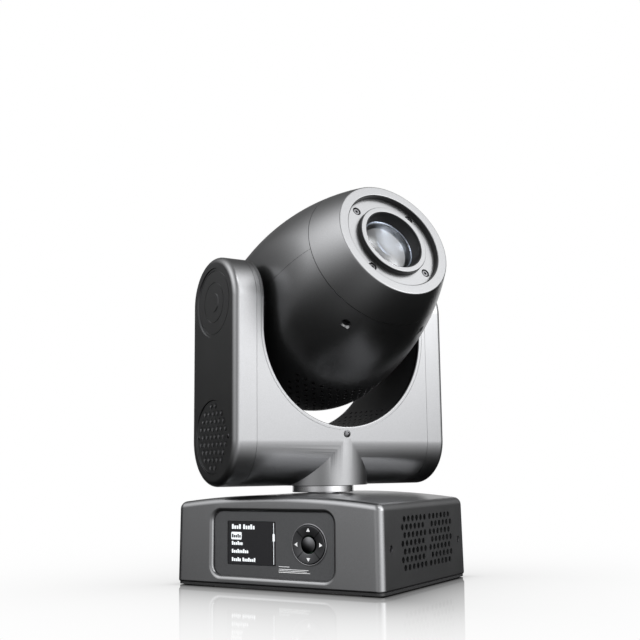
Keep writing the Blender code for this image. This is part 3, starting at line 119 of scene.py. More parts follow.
camera_data = bpy.data.cameras.new("camera")
camera_data.lens = CAMERA_LENS
camera_data.sensor_width = 36
camera = bpy.data.objects.new("camera", camera_data)
bpy.context.scene.collection.objects.link(camera)
looking = Matrix.Rotation(CAMERA_YAW, 4, "Z") @ Matrix.Rotation(CAMERA_PITCH, 4, "X")
looking = looking @ Matrix.Rotation(CAMERA_ROLL, 4, "Y") @ Matrix.Rotation(math.radians(90), 4, "X")
camera.matrix_world = Matrix.Translation(CAMERA_PLACE) @ looking
bpy.context.scene.camera = camera
print("lens", CAMERA_LENS, "mm, camera", round(camera.location.length, 3), "m from the origin")

# %% [markdown]
# ## Studio
# Dark metallic paint shows little of its own colour: it shows what stands round it. So the studio is
# built from glows. Each glow is a soft patch of light in one direction, brightest in its middle and
# falling off like a bell. They are summed in the world shader, which samples them without noise. Big
# lamps could do the same, but their hard edges would show in the satin paint. The eye sees none of
# this: for the camera the world is plain white.

# %% White for the camera, glows for everything else
DIM_SKY = 0.003
GLOWS = (
    (-60, -30, 11, 0.55),
    (-30, 0, 9, 1.00),
    (-12, 6, 9, 2.60),
    (-86, 15, 9, 1.30),
    (8, 24, 9, 2.60),
    (133, 15, 9, 0.20),
    (-111, 33, 9, 2.40),
    (26, 42, 9, 3.60),
    (-138, 48, 9, 2.60),
    (150, 66, 9, 0.35),
    (-16, 52, 90, 9.0),
    (13, 18, 90, 9.0),
)

scene = bpy.context.scene
scene.view_settings.view_transform = "Standard"


def towards(azimuth, elevation):
    """The unit vector towards a direction in degrees. Azimuth 0 is +X, and 90 is +Y."""
    flat, rise = math.radians(azimuth), math.radians(elevation)
    return Vector((math.cos(flat) * math.cos(rise), math.sin(flat) * math.cos(rise), math.sin(rise)))


def chain(tree, operation, *sources):
    """A math node fed by sockets or by plain numbers."""
    node = tree.nodes.new("ShaderNodeMath")
    node.operation = operation
    for slot, source in enumerate(sources):
        if isinstance(source, (int, float)):
            node.inputs[slot].default_value = source
        else:
            tree.links.new(source, node.inputs[slot])
    return node.outputs[0]


def for_camera(tree, seen, unseen):
    """Mixes two shaders: the first for the camera, the second for all other rays."""
    path = tree.nodes.new("ShaderNodeLightPath")
    mix = tree.nodes.new("ShaderNodeMixShader")
    tree.links.new(path.outputs["Is Camera Ray"], mix.inputs[0])
    tree.links.new(unseen.outputs[0], mix.inputs[1])
    tree.links.new(seen.outputs[0], mix.inputs[2])
    return mix


world = bpy.data.worlds.new("studio")
scene.world = world
world.use_nodes = True
sky = world.node_tree
sky.nodes.clear()
looking_at = sky.nodes.new("ShaderNodeTexCoord").outputs["Generated"]
total = DIM_SKY
for azimuth, elevation, tightness, strength in GLOWS:
    nearness = sky.nodes.new("ShaderNodeVectorMath")
    nearness.operation = "DOT_PRODUCT"
    nearness.inputs[1].default_value = towards(azimuth, elevation)
    sky.links.new(looking_at, nearness.inputs[0])
    falling = chain(sky, "MULTIPLY_ADD", nearness.outputs["Value"], tightness, -tightness)
    total = chain(sky, "ADD", chain(sky, "MULTIPLY", chain(sky, "EXPONENT", falling), strength), total)
white = sky.nodes.new("ShaderNodeBackground")
white.inputs["Color"].default_value = (1, 1, 1, 1)
glow = sky.nodes.new("ShaderNodeBackground")
sky.links.new(total, glow.inputs["Strength"])
sky_out = sky.nodes.new("ShaderNodeOutputWorld")
sky.links.new(for_camera(sky, white, glow).outputs[0], sky_out.inputs[0])
print(len(GLOWS), "glows in the sky")

# %% [markdown]
# ## Three small helpers
# Every mesh here is shaped as a bmesh and then handed to an object, and on the way most of them are moved
# and turned about the origin. Blender's own calls for that are long, and these give them short names.

# %% Make an object, move a shape, turn a shape
def new_object(name, shape):
    """An object whose mesh comes from a bmesh, which is used up."""
    mesh = bpy.data.meshes.new(name)
    shape.to_mesh(mesh)
    shape.free()
    piece = bpy.data.objects.new(name, mesh)
    scene.collection.objects.link(piece)
    return piece


def carry(shape, step):
    bmesh.ops.translate(shape, vec=step, verts=shape.verts)


def swing(shape, angle, axis):
    """Turns a shape about an axis through the origin, by an angle in radians."""
    bmesh.ops.rotate(shape, cent=(0, 0, 0), matrix=Matrix.Rotation(angle, 3, axis), verts=shape.verts)


# %% [markdown]
# ## Floor
# The floor is a white sheet with a polish that mirrors the base. The polish is strong beside the base
# and dies away with distance, and under the base lies a soft dark shadow. Both follow from one number:
# how far a point is from the base's outline. A mirror with a fixed strength would turn the whole floor
# grey, because it would mirror the dim sky.

# %% White floor with a fading mirror
FLOOR_HEIGHT = cad_box[0][2]
MIRROR = 0.85
MIRROR_FADE = 0.110
SHADOW_REACH = 0.006
POLISH_ROUGHNESS = 0.05
FLOOR_HALF = 12

floor_shape = bmesh.new()
bmesh.ops.create_grid(floor_shape, x_segments=1, y_segments=1, size=FLOOR_HALF)
carry(floor_shape, (0, 0, FLOOR_HEIGHT))
floor = new_object("floor", floor_shape)
floor.visible_glossy = False
floor.visible_diffuse = False
floor.visible_transmission = False
floor.visible_shadow = False

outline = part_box("base_shell")[1]
floor_finish = bpy.data.materials.new("floor_sheet")
floor_finish.use_nodes = True
sheet = floor_finish.node_tree
sheet.nodes.clear()
place = sheet.nodes.new("ShaderNodeSeparateXYZ")
sheet.links.new(sheet.nodes.new("ShaderNodeTexCoord").outputs["Object"], place.inputs[0])
gaps = []
for axis in (0, 1):
    from_middle = chain(sheet, "ABSOLUTE", place.outputs[axis])
    gaps.append(chain(sheet, "SUBTRACT", from_middle, outline[axis]))
beside = [chain(sheet, "MAXIMUM", gap, 0.0) for gap in gaps]
squares = [chain(sheet, "MULTIPLY", side, side) for side in beside]
distance = chain(sheet, "SQRT", chain(sheet, "ADD", *squares))
fading = chain(sheet, "EXPONENT", chain(sheet, "MULTIPLY", distance, -1 / MIRROR_FADE))
shading = chain(sheet, "EXPONENT", chain(sheet, "MULTIPLY", distance, -1 / SHADOW_REACH))
lit = chain(sheet, "SUBTRACT", 1.0, shading)
pale = sheet.nodes.new("ShaderNodeEmission")
sheet.links.new(lit, pale.inputs["Strength"])
polish = sheet.nodes.new("ShaderNodeBsdfGlossy")
polish.inputs["Roughness"].default_value = POLISH_ROUGHNESS
shine = sheet.nodes.new("ShaderNodeMixShader")
sheet.links.new(chain(sheet, "MULTIPLY", fading, MIRROR), shine.inputs[0])
sheet.links.new(pale.outputs[0], shine.inputs[1])
sheet.links.new(polish.outputs[0], shine.inputs[2])
sheet_out = sheet.nodes.new("ShaderNodeOutputMaterial")
sheet.links.new(shine.outputs[0], sheet_out.inputs[0])
floor.data.materials.append(floor_finish)

# %% [markdown]
# Past the base, the floor should mirror white. A white card stands behind the light for that. It is low,
# so that little of it shows in the casing's sides, and the camera doesn't see it.

# %% White card behind
CARD_DISTANCE = 1.6
CARD_HALF = (1.05, 0.30)
card_shape = bmesh.new()
bmesh.ops.create_grid(card_shape, x_segments=1, y_segments=1, size=1)
bmesh.ops.scale(card_shape, vec=(*CARD_HALF, 1), verts=card_shape.verts)
swing(card_shape, math.radians(90), "X")
carry(card_shape, (0, CARD_DISTANCE, FLOOR_HEIGHT + CARD_HALF[1]))
swing(card_shape, CAMERA_YAW, "Z")
card = new_object("card", card_shape)
card_finish = bpy.data.materials.new("card_sheet")
card_finish.use_nodes = True
card_tree = card_finish.node_tree
card_tree.nodes.clear()
card_glow = card_tree.nodes.new("ShaderNodeEmission")
card_out = card_tree.nodes.new("ShaderNodeOutputMaterial")
card_tree.links.new(card_glow.outputs[0], card_out.inputs[0])
card.data.materials.append(card_finish)
card.visible_camera = False
card.visible_diffuse = False
card.visible_shadow = False
print("floor at", round(FLOOR_HEIGHT, 4))

# %% [markdown]
# ## Finishes
# A finish is a Principled shader whose colour, roughness and bump are nudged by noise, because no real
# surface is perfectly even. The noise reads Object coordinates, which are metres here, so a grain of
# half a millimetre is a scale of 2000. Image textures would need files, and this way the grain has the
# same size on every piece.

# %% A helper for grained finishes
finishes = {}


def grained(name, colour, metallic, roughness, grain, depth, mottle=0.12, stretch=(1, 1, 1)):
    """A finish with a fine grain (its size and depth in metres), and a slow mottling of its colour."""
    made = bpy.data.materials.new(name)
    made.use_nodes = True
    tree = made.node_tree
    shader = tree.nodes["Principled BSDF"]
    shader.inputs["Metallic"].default_value = metallic
    place = tree.nodes.new("ShaderNodeTexCoord")
    mapping = tree.nodes.new("ShaderNodeMapping")
    mapping.inputs["Scale"].default_value = stretch
    tree.links.new(place.outputs["Object"], mapping.inputs["Vector"])
    fine = tree.nodes.new("ShaderNodeTexNoise")
    fine.inputs["Scale"].default_value = 1 / grain
    fine.inputs["Detail"].default_value = 3
    slow = tree.nodes.new("ShaderNodeTexNoise")
    slow.inputs["Scale"].default_value = 1 / (60 * grain)
    slow.inputs["Detail"].default_value = 4
    for noise in (fine, slow):
        tree.links.new(mapping.outputs["Vector"], noise.inputs["Vector"])
    shade = tree.nodes.new("ShaderNodeValToRGB")
    shade.color_ramp.elements[0].position = 0.3
    shade.color_ramp.elements[1].position = 0.7
    shade.color_ramp.elements[0].color = (*[c * (1 - mottle) for c in colour], 1)
    shade.color_ramp.elements[1].color = (*[min(1, c * (1 + mottle)) for c in colour], 1)
    tree.links.new(fine.outputs[0], shade.inputs["Fac"])
    tree.links.new(shade.outputs["Color"], shader.inputs["Base Color"])
    gloss = tree.nodes.new("ShaderNodeMapRange")
    gloss.inputs["To Min"].default_value = roughness * (1 - mottle)
    gloss.inputs["To Max"].default_value = roughness * (1 + mottle)
    tree.links.new(slow.outputs[0], gloss.inputs["Value"])
    tree.links.new(gloss.outputs["Result"], shader.inputs["Roughness"])
    bump = tree.nodes.new("ShaderNodeBump")
    bump.inputs["Distance"].default_value = depth
    bump.inputs["Strength"].default_value = 0.5
    tree.links.new(fine.outputs[0], bump.inputs["Height"])
    tree.links.new(bump.outputs["Normal"], shader.inputs["Normal"])
    finishes[name] = made
    return made


# %% [markdown]
# The casing is moulded plastic in a dark metallic paint. The paint holds fine metal flakes, which is why
# it turns from nearly black to silver as it catches a light. A fully metallic shader of a dark grey, with a
# satin roughness, gives that, with a grain as small as the flakes.

# %% Casing paint
grained("body_paint", (0.215, 0.217, 0.222), 1.0, 0.30, 0.0005, 0.00002, 0.10)

# %% [markdown]
# The other finishes differ in scale and depth of grain: a spark-eroded texture on the dark mouldings,
# long brush marks on plated steel, turning marks on the alloy, and a soft bloom on rubber.

# %% Plastics, metals and rubber
grained("dark_plastic", (0.012, 0.012, 0.013), 0.0, 0.45, 0.0007, 0.00004)
grained("panel_film", (0.110, 0.112, 0.116), 0.8, 0.40, 0.0006, 0.00003)
grained("key_plastic", (0.085, 0.086, 0.090), 1.0, 0.16, 0.0004, 0.000005)
grained("rim_plastic", (0.26, 0.26, 0.27), 1.0, 0.22, 0.0004, 0.000005)
grained("zinc_steel", (0.46, 0.46, 0.45), 0.95, 0.36, 0.0012, 0.00001, 0.10, (0.08, 1, 1))
grained("satin_silver", (0.42, 0.42, 0.43), 1.0, 0.20, 0.0006, 0.00001, 0.06, (1, 1, 3))
grained("cast_alloy", (0.52, 0.53, 0.54), 0.9, 0.42, 0.0010, 0.00004)
grained("screw_steel", (0.11, 0.11, 0.115), 1.0, 0.28, 0.0004, 0.00001)
grained("rubber", (0.014, 0.014, 0.014), 0.0, 0.78, 0.0008, 0.00005)
grained("circuit_board", (0.020, 0.110, 0.050), 0.0, 0.45, 0.0011, 0.00002, 0.3)
grained("white_ink", (0.86, 0.87, 0.88), 0.0, 0.50, 0.0004, 0.000005, 0.03)
print(len(finishes), "grained finishes")

# %% [markdown]
# The lens is glass with a bluish anti-reflection coat. The display is a glossy black pane, and what it
# shows glows a little. Both are smooth, so their only variation is a trace of dust.

# %% Glass, display and its marks
lens_glass = grained("lens_glass", (0.95, 0.97, 1.0), 0.0, 0.02, 0.004, 0.000001, 0.03)
lens_shader = lens_glass.node_tree.nodes["Principled BSDF"]
lens_shader.inputs["Transmission Weight"].default_value = 1.0
lens_shader.inputs["IOR"].default_value = 1.52
lens_shader.inputs["Coat Weight"].default_value = 0.8
lens_shader.inputs["Coat Tint"].default_value = (0.92, 0.95, 1.0, 1)
grained("display_glass", (0.010, 0.010, 0.012), 0.0, 0.14, 0.003, 0.000001, 0.1)
screen_glow = grained("screen_glow", (0.75, 0.78, 0.80), 0.0, 0.35, 0.0005, 0.000001, 0.04)
glow_shader = screen_glow.node_tree.nodes["Principled BSDF"]
glow_shader.inputs["Emission Color"].default_value = (0.80, 0.84, 0.86, 1)
glow_shader.inputs["Emission Strength"].default_value = 0.45

# %% [markdown]
# ## Dress the CAD nodes
# Many inner pieces, such as the motors, belts and the chassis, have the right shape already. They keep
# their CAD mesh and only change their finish, by the slot that the record gives them.

# %% Give every CAD node its finish
for part in frame["record"]["subparts"]:
    mesh = frame["nodes"][part["node"]].data
    mesh.materials.clear()
    mesh.materials.append(finishes[part["material_slot"]])

# %% [markdown]
# ## Shaping helpers
# Every new piece starts as a bmesh made by an operator: a cube, a cylinder, or a circle that is stretched
# and extruded. A turned piece is a profile that is spun. Cuts are Booleans, which are settled at once,
# so that a finished piece is one plain mesh.

# %% Solids from operators
WELD = 0.000005
FACETS = 96
FINE = 128
THROUGH = 0.01


def soften(shape, edges, offset, segments, clamp=False):
    """Rounds some edges of a shape. Clamping keeps neighbouring rounds from crossing."""
    how = {"profile": 0.5, "affect": "EDGES", "material": -1, "clamp_overlap": clamp}
    bmesh.ops.bevel(shape, geom=edges, offset=offset, segments=segments, **how)


def box_shape(low, high):
    shape = bmesh.new()
    bmesh.ops.create_cube(shape, size=1)
    bmesh.ops.scale(shape, vec=[b - a for a, b in zip(low, high)], verts=shape.verts)
    carry(shape, [(a + b) / 2 for a, b in zip(low, high)])
    return shape


def point_along(shape, axis):
    """Turns a shape that stands along Z so that it runs along X or Y."""
    turns = {"X": Matrix.Rotation(math.radians(90), 3, "Y"), "Y": Matrix.Rotation(math.radians(-90), 3, "X")}
    if axis in turns:
        bmesh.ops.rotate(shape, cent=(0, 0, 0), matrix=turns[axis], verts=shape.verts)
    return shape


def rod_shape(radius, start, end, axis="Z", middle=(0, 0, 0), sides=FACETS, tip=None):
    """A cylinder, or a cone if its tip has another radius, along an axis through a middle point."""
    shape = bmesh.new()
    far = radius if tip is None else tip
    bmesh.ops.create_cone(
        shape, cap_ends=True, segments=sides, radius1=radius, radius2=far, depth=end - start
    )
    carry(shape, (0, 0, (start + end) / 2))
    point_along(shape, axis)
    carry(shape, middle)
    return shape


def window_shape(width, height, corner, front, back, middle):
    """A box along Y with round upright edges, from front to back about a middle (x, z)."""
    half = (width / 2, height / 2)
    low = (middle[0] - half[0], front, middle[1] - half[1])
    shape = box_shape(low, (middle[0] + half[0], back, middle[1] + half[1]))
    deep = [e for e in shape.edges if abs(e.verts[0].co.y - e.verts[1].co.y) > (back - front) / 2]
    soften(shape, deep, corner, 10)
    return shape


def gather(shapes):
    """One bmesh that holds them all."""
    whole = bmesh.new()
    for shape in shapes:
        mesh = bpy.data.meshes.new("gathered")
        shape.to_mesh(mesh)
        shape.free()
        whole.from_mesh(mesh)
        bpy.data.meshes.remove(mesh)
    return whole


# %% [markdown]
# A turned profile is a short list of corners. Real corners are never sharp, so each one becomes a small
# arc before the profile is spun. Where the profile already turns only a little, as along a curve, the
# corner stays as it is.

# %% Soft corners and turned shapes
GENTLE_TURN = math.radians(25)


def eased(points, radius, closed=True, steps=4):
    """The same outline with its sharp corners turned into short arcs."""
    loop = [Vector(point) for point in points]
    eased_loop = []
    for number, corner in enumerate(loop):
        before = loop[number - 1] - corner
        after = loop[(number + 1) % len(loop)] - corner
        at_end = not closed and number in (0, len(loop) - 1)
        if at_end or before.angle(-after) < GENTLE_TURN:
            eased_loop.append(corner)
            continue
        short = min(radius, 0.45 * before.length, 0.45 * after.length)
        start = corner + before.normalized() * short
        end = corner + after.normalized() * short
        for step in range(steps + 1):
            share = step / steps
            eased_loop.append(start.lerp(corner, share).lerp(corner.lerp(end, share), share))
    return eased_loop


def spun_shape(points, closed=True, steps=FACETS, axis="Z", middle=(0, 0, 0)):
    """A profile of (radius, height) points spun a full turn."""
    shape = bmesh.new()
    corners = [shape.verts.new((radius, 0, height)) for radius, height in points]
    pairs = list(zip(corners, corners[1:]))
    if closed:
        pairs.append((corners[-1], corners[0]))
    edges = [shape.edges.new(pair) for pair in pairs if pair[0].co.x > WELD or pair[1].co.x > WELD]
    full_turn = {"angle": 2 * math.pi, "steps": steps, "use_merge": True}
    bmesh.ops.spin(shape, geom=corners + edges, cent=(0, 0, 0), axis=(0, 0, 1), **full_turn)
    bmesh.ops.remove_doubles(shape, verts=shape.verts, dist=WELD)
    point_along(shape, axis)
    carry(shape, middle)
    return shape


# %% [markdown]
# A Boolean could stay live as a modifier, but then its tool would have to stay in the scene too. Settling it
# leaves one plain mesh. The exact solver is slower than the fast one, and copes with faces that touch.

# %% Booleans, settled at once
def make_solid(name, shape):
    """An object from a bmesh, with its doubles merged and its faces turned outwards."""
    bmesh.ops.remove_doubles(shape, verts=shape.verts, dist=WELD)
    bmesh.ops.recalc_face_normals(shape, faces=shape.faces)
    return new_object(name, shape)


def as_shape(piece):
    """Turns a piece that was made only as a tool back into a bmesh."""
    shape = bmesh.new()
    shape.from_mesh(piece.data)
    bpy.data.meshes.remove(piece.data)
    return shape


def settle(piece):
    """Applies every modifier."""
    graph = bpy.context.evaluated_depsgraph_get()
    mesh = bpy.data.meshes.new_from_object(piece.evaluated_get(graph))
    piece.modifiers.clear()
    old = piece.data
    piece.data = mesh
    bpy.data.meshes.remove(old)
    return piece


def combine(piece, shape, operation="DIFFERENCE"):
    """Cuts a shape from a piece, joins it on, or keeps only what they share."""
    tool = make_solid("tool", shape)
    change = piece.modifiers.new("change", "BOOLEAN")
    change.operation = operation
    change.solver = "EXACT"
    change.object = tool
    settle(piece)
    bpy.data.meshes.remove(tool.data)
    return piece


def thicken(piece, wall):
    """Gives an open skin a wall on its inner side."""
    shell = piece.modifiers.new("wall", "SOLIDIFY")
    shell.thickness = wall
    shell.offset = -1
    shell.use_even_offset = True
    return settle(piece)


# %% [markdown]
# A finished piece is moved by its mesh and not by its object, so that its Object coordinates are the
# world's metres and every grain has its true size. Flat faces next to small rounds are shaded by weighted
# normals, which keep the flats flat.

# %% Finish a piece
SHARP = math.radians(32)


def finish(piece, place, material, body, *nodes, slot=None):
    """Moves a piece's mesh into place, shades it, sets which body it rides on, and hides the CAD nodes it stands
    for.
    """
    piece.data.transform(place)
    piece.data.shade_smooth()
    piece.data.set_sharp_from_angle(angle=SHARP)
    weighted = piece.modifiers.new("weighted", "WEIGHTED_NORMAL")
    weighted.keep_sharp = True
    settle(piece)
    piece.data.materials.clear()
    piece.data.materials.append(finishes[material])
    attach(piece, body)
    if nodes:
        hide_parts(*nodes)
    print(piece.name, len(piece.data.polygons), "faces")
    return piece


# %% [markdown]
# ## The base casing
# The base is a moulded cover: a box whose walls lean in a little so that it leaves its mould, with a roof
# that swells gently from left to right. It could be a scaled cube with a bevel, but the swell needs more
# cuts across the roof, so the cube is sliced, lifted along a parabola, and only then rounded at its rim.

# %% Outer skin of the base
CROWN_RISE = 0.0075
DRAFT = 0.0009
UPRIGHT_ROUND = 0.0075
RIM_ROUND = 0.0065
HEM_ROUND = 0.0022
CASING_WALL = 0.0030
CROWN_SLICES = 28

base_low, base_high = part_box("base_shell")
base_width = base_high.x - base_low.x
base_depth = base_high.y - base_low.y
edge_height = base_high.z - CROWN_RISE
draft_slope = DRAFT / edge_height


def base_skin():
    shape = box_shape((base_low.x, base_low.y, base_low.z), (base_high.x, base_high.y, edge_height))
    corners = [e for e in shape.edges if abs(e.verts[0].co.z - e.verts[1].co.z) > edge_height / 2]
    soften(shape, corners, UPRIGHT_ROUND, 8)
    flat = base_width / 2 - UPRIGHT_ROUND
    for cut in range(1, CROWN_SLICES):
        everything = shape.verts[:] + shape.edges[:] + shape.faces[:]
        where = flat * (2 * cut / CROWN_SLICES - 1)
        bmesh.ops.bisect_plane(shape, geom=everything, plane_co=(where, 0, 0), plane_no=(1, 0, 0))
    for vertex in [v for v in shape.verts if v.co.z > edge_height / 2]:
        vertex.co.z += CROWN_RISE * (1 - (2 * vertex.co.x / base_width) ** 2)
        vertex.co.x *= 1 - 2 * DRAFT / base_width
        vertex.co.y *= 1 - 2 * DRAFT / base_depth
    shape.normal_update()
    rim = []
    for edge in shape.edges:
        rises = sorted(abs(face.normal.z) for face in edge.link_faces)
        if len(rises) == 2 and rises[0] < 0.2 and rises[1] > 0.8 and edge.verts[0].co.z > edge_height / 2:
            rim.append(edge)
    soften(shape, rim, RIM_ROUND, 6)
    lowest = [e for e in shape.edges if all(abs(v.co.z - base_low.z) < WELD for v in e.verts)]
    hem = [e for e in lowest if e.calc_face_angle(0) > 1]
    soften(shape, hem, HEM_ROUND, 4)
    shape.normal_update()
    underside = [face for face in shape.faces if face.normal.z < -0.9]
    bmesh.ops.delete(shape, geom=underside, context="FACES")
    return shape


base_casing = thicken(make_solid("base_casing", base_skin()), CASING_WALL)
print("base", round(base_width, 4), "by", round(base_depth, 4), "m")

# %% [markdown]
# The front window is not a plain hole: its edge rolls inwards. A Boolean can cut that roll in one go if
# the cutter flares. The cutter is a rounded box whose inner face is inset in small steps that follow a
# quarter circle. It leans with the casing's wall.

# %% Front and rear windows
WINDOW_ROUND = 0.0100
EDGE_ROLL = 0.0036
ROLL_STEPS = 5
OUTSIDE = 0.02

panel_low, panel_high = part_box("control_panel")
PANEL_MARGIN = 0.0030
window_size = (panel_high.x - panel_low.x - 2 * PANEL_MARGIN, panel_high.z - panel_low.z - 2 * PANEL_MARGIN)
window_middle = ((panel_high.x + panel_low.x) / 2, (panel_high.z + panel_low.z) / 2)


def flared_window(size, corner, middle, roll):
    """A cutter along +Y that starts wide, outside the wall, and narrows to the window's size."""
    wide = (size[0] + 2 * roll, size[1] + 2 * roll)
    shape = window_shape(*wide, corner + roll, -OUTSIDE, 0, middle)
    inner = max(shape.faces, key=lambda face: face.calc_center_median().y)
    for step in range(ROLL_STEPS):
        lean = [math.radians(90 * (step + extra) / ROLL_STEPS) for extra in (0, 1)]
        across = roll * (math.sin(lean[1]) - math.sin(lean[0]))
        deeper = roll * (math.cos(lean[0]) - math.cos(lean[1]))
        bmesh.ops.inset_individual(shape, faces=[inner], thickness=across, depth=deeper, use_even_offset=True)
    pushed = bmesh.ops.extrude_discrete_faces(shape, faces=[inner])["faces"]
    bmesh.ops.translate(shape, vec=(0, OUTSIDE, 0), verts=pushed[0].verts)
    for vertex in shape.verts:
        vertex.co.y += base_low.y + draft_slope * vertex.co.z
    return shape


combine(base_casing, flared_window(window_size, WINDOW_ROUND, window_middle, EDGE_ROLL))
rear_low, rear_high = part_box("rear_panel")
rear_size = (rear_high.x - rear_low.x - 2 * PANEL_MARGIN, rear_high.z - rear_low.z - 2 * PANEL_MARGIN)
rear_middle = ((rear_high.x + rear_low.x) / 2, (rear_high.z + rear_low.z) / 2)
rear_cut = flared_window(rear_size, WINDOW_ROUND / 2, rear_middle, EDGE_ROLL / 2)
swing(rear_cut, math.pi, "Z")
combine(base_casing, rear_cut)
print("front window", [round(side, 4) for side in window_size])

# %% [markdown]
# Air leaves through the casing's sides. On the real light these are two staggered fields of round holes
# whose rims catch the light, because a moulded hole always widens outwards. So the drills are cones. They
# all go into one cutter, so that a single Boolean makes every hole.

# %% Side vents and casing screws
VENT_ROWS = 7
VENT_PITCH = 0.0089
VENT_ROW_PITCH = 0.00745
VENT_TOP = 0.0630
VENT_MIDDLE = 0.0032
VENT_HALF_GAP = 0.0058
VENT_COLUMNS = 6
VENT_RADIUS = 0.0024
VENT_FLARE = 0.0005
VENT_SIDES = 14
CASING_SCREWS = ((-0.0755, 0.0375), (0.0770, 0.0365))
SCREW_WELL = 0.0034
SCREW_WELL_DEPTH = 0.0022


def vent_holes():
    """Centres (y, z) of one side's holes."""
    holes = []
    for row in range(VENT_ROWS):
        shift = VENT_HALF_GAP + (VENT_PITCH / 2 if row % 2 else 0)
        for column in range(VENT_COLUMNS):
            out = shift + column * VENT_PITCH
            for way in (-1, 1):
                holes.append((VENT_MIDDLE + way * out, VENT_TOP - row * VENT_ROW_PITCH))
    return holes


def side_wall(z):
    """How far out the casing's side is at a height."""
    return base_high.x - draft_slope * z


def flared_drill(radius, flare, side, face, depth, middle, sides):
    """A cone along X that is widest where it leaves a face that looks along -X or +X."""
    drill = rod_shape(radius, 0, depth, tip=radius + flare, sides=sides)
    carry(drill, (0, 0, -depth))
    swing(drill, math.radians(90 * side), "Y")
    carry(drill, (face, middle[0], middle[1]))
    return drill


BEYOND = 0.0001
drills = []
for side in (-1, 1):
    for y, z in vent_holes():
        face = side * (side_wall(z) + BEYOND)
        drills.append(flared_drill(VENT_RADIUS, VENT_FLARE, side, face, 2 * CASING_WALL, (y, z), VENT_SIDES))
    for y, z in CASING_SCREWS:
        ends = sorted((side * (side_wall(z) - SCREW_WELL_DEPTH), side * (side_wall(z) + CASING_WALL)))
        drills.append(rod_shape(SCREW_WELL, *ends, "X", (0, y, z), 32))
combine(base_casing, gather(drills))
SHAFT_CLEARANCE = 0.0170
combine(base_casing, rod_shape(SHAFT_CLEARANCE, edge_height - THROUGH, base_high.z + THROUGH))
finish(base_casing, BASE, "body_paint", "base", "base_shell")
print(len(drills), "holes drilled")

# %% [markdown]
# Under the casing the floor plate's rim shows just above the table. Its dark plastic is painted shade: the thin
# shadow line in the gap under the casing.

# %% Skirt of the floor plate
SKIRT_INSET = 0.0012
SKIRT_FOOT = -0.0022
SKIRT_TOP = 0.0020
SKIRT_WALL = 0.0040


def rounded_slab(inset, foot, top):
    low = (base_low.x + inset, base_low.y + inset, foot)
    shape = box_shape(low, (base_high.x - inset, base_high.y - inset, top))
    corners = [e for e in shape.edges if abs(e.verts[0].co.z - e.verts[1].co.z) > (top - foot) / 2]
    round_now = max(UPRIGHT_ROUND - inset, 0.002)
    soften(shape, corners, round_now, 8)
    return shape


# The skirt's dark plastic paints the shadow line under the casing.
shadow_skirt = make_solid("base_shadow_skirt", rounded_slab(SKIRT_INSET, SKIRT_FOOT, SKIRT_TOP))
combine(shadow_skirt, rounded_slab(SKIRT_INSET + SKIRT_WALL, 2 * SKIRT_FOOT, 2 * SKIRT_TOP))
finish(shadow_skirt, BASE, "dark_plastic", "base")

# %% [markdown]
# ## Screws
# Cross-head and socket screws turn up in many places. The head is spun from a short profile, and the
# recess is cut by a small tool. A screw could be an instance, but the export wants real meshes.

# %% Screw heads
def cross_screw(radius, height):
    """A domed head that stands on z = 0, with a cross recess."""
    dome = [(radius * share, height * (1 - 0.55 * share**2)) for share in (0, 0.25, 0.5, 0.75, 1)]
    head = make_solid("head", spun_shape(dome + [(radius, 0), (0, 0)], closed=False, steps=32))
    slot, arm = radius * 0.17, radius * 0.62
    deep = height * 0.35
    combine(head, box_shape((-arm, -slot, deep), (arm, slot, 2 * height)))
    return combine(head, box_shape((-slot, -arm, deep), (slot, arm, 2 * height)))


def socket_screw(radius, height):
    """A flat head that stands on z = 0, with a hexagon socket."""
    profile = eased([(0, 0), (radius, 0), (radius, height), (0, height)], radius * 0.12, closed=False)
    head = make_solid("head", spun_shape(profile, closed=False, steps=40))
    return combine(head, rod_shape(radius * 0.46, height * 0.4, 2 * height, sides=6))


def set_screw(head, name, place, body, *nodes, material="screw_steel"):
    head.name = name
    return finish(head, place, material, body, *nodes)


def facing(direction, point):
    """The matrix that stands a head on a point, facing a direction."""
    turn = Vector(direction).to_track_quat("Z", "Y").to_matrix().to_4x4()
    return Matrix.Translation(Vector(point)) @ turn


CASING_SCREW_SIZE = (0.0029, 0.0015)
for side, word in ((-1, "left"), (1, "right")):
    for number, (y, z) in enumerate(CASING_SCREWS, 1):
        seat = facing((side, 0, 0), (side * (side_wall(z) - SCREW_WELL_DEPTH), y, z))
        set_screw(cross_screw(*CASING_SCREW_SIZE), f"casing_screw_{word}_{number}", seat, "base")

# %% [markdown]
# ## The control panel
# Behind the front window sits a satin plate with a window for the display and a round bore for the keys,
# which has a raised rim. A Boolean cuts the openings from a rounded plate, and the rim is a spun ring.

# %% Panel plate and key rim
key_low, key_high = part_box("key_enter")
pad_middle = ((key_low.x + key_high.x) / 2, (key_low.z + key_high.z) / 2)
RIM_PROUD = 0.0010
panel_front = panel_low.y + RIM_PROUD
PAD_BORE = 0.0181
RIM_WIDTH = 0.0014
SCREEN_FRAME = 0.0040
SCREEN_CORNER = 0.0012
RIM_SUNK = -0.0012
screen_low, screen_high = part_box("display")
screen_size = [high - low - 2 * SCREEN_FRAME for low, high in zip(screen_low.xz, screen_high.xz)]
screen_middle = ((screen_low.x + screen_high.x) / 2, (screen_low.z + screen_high.z) / 2)

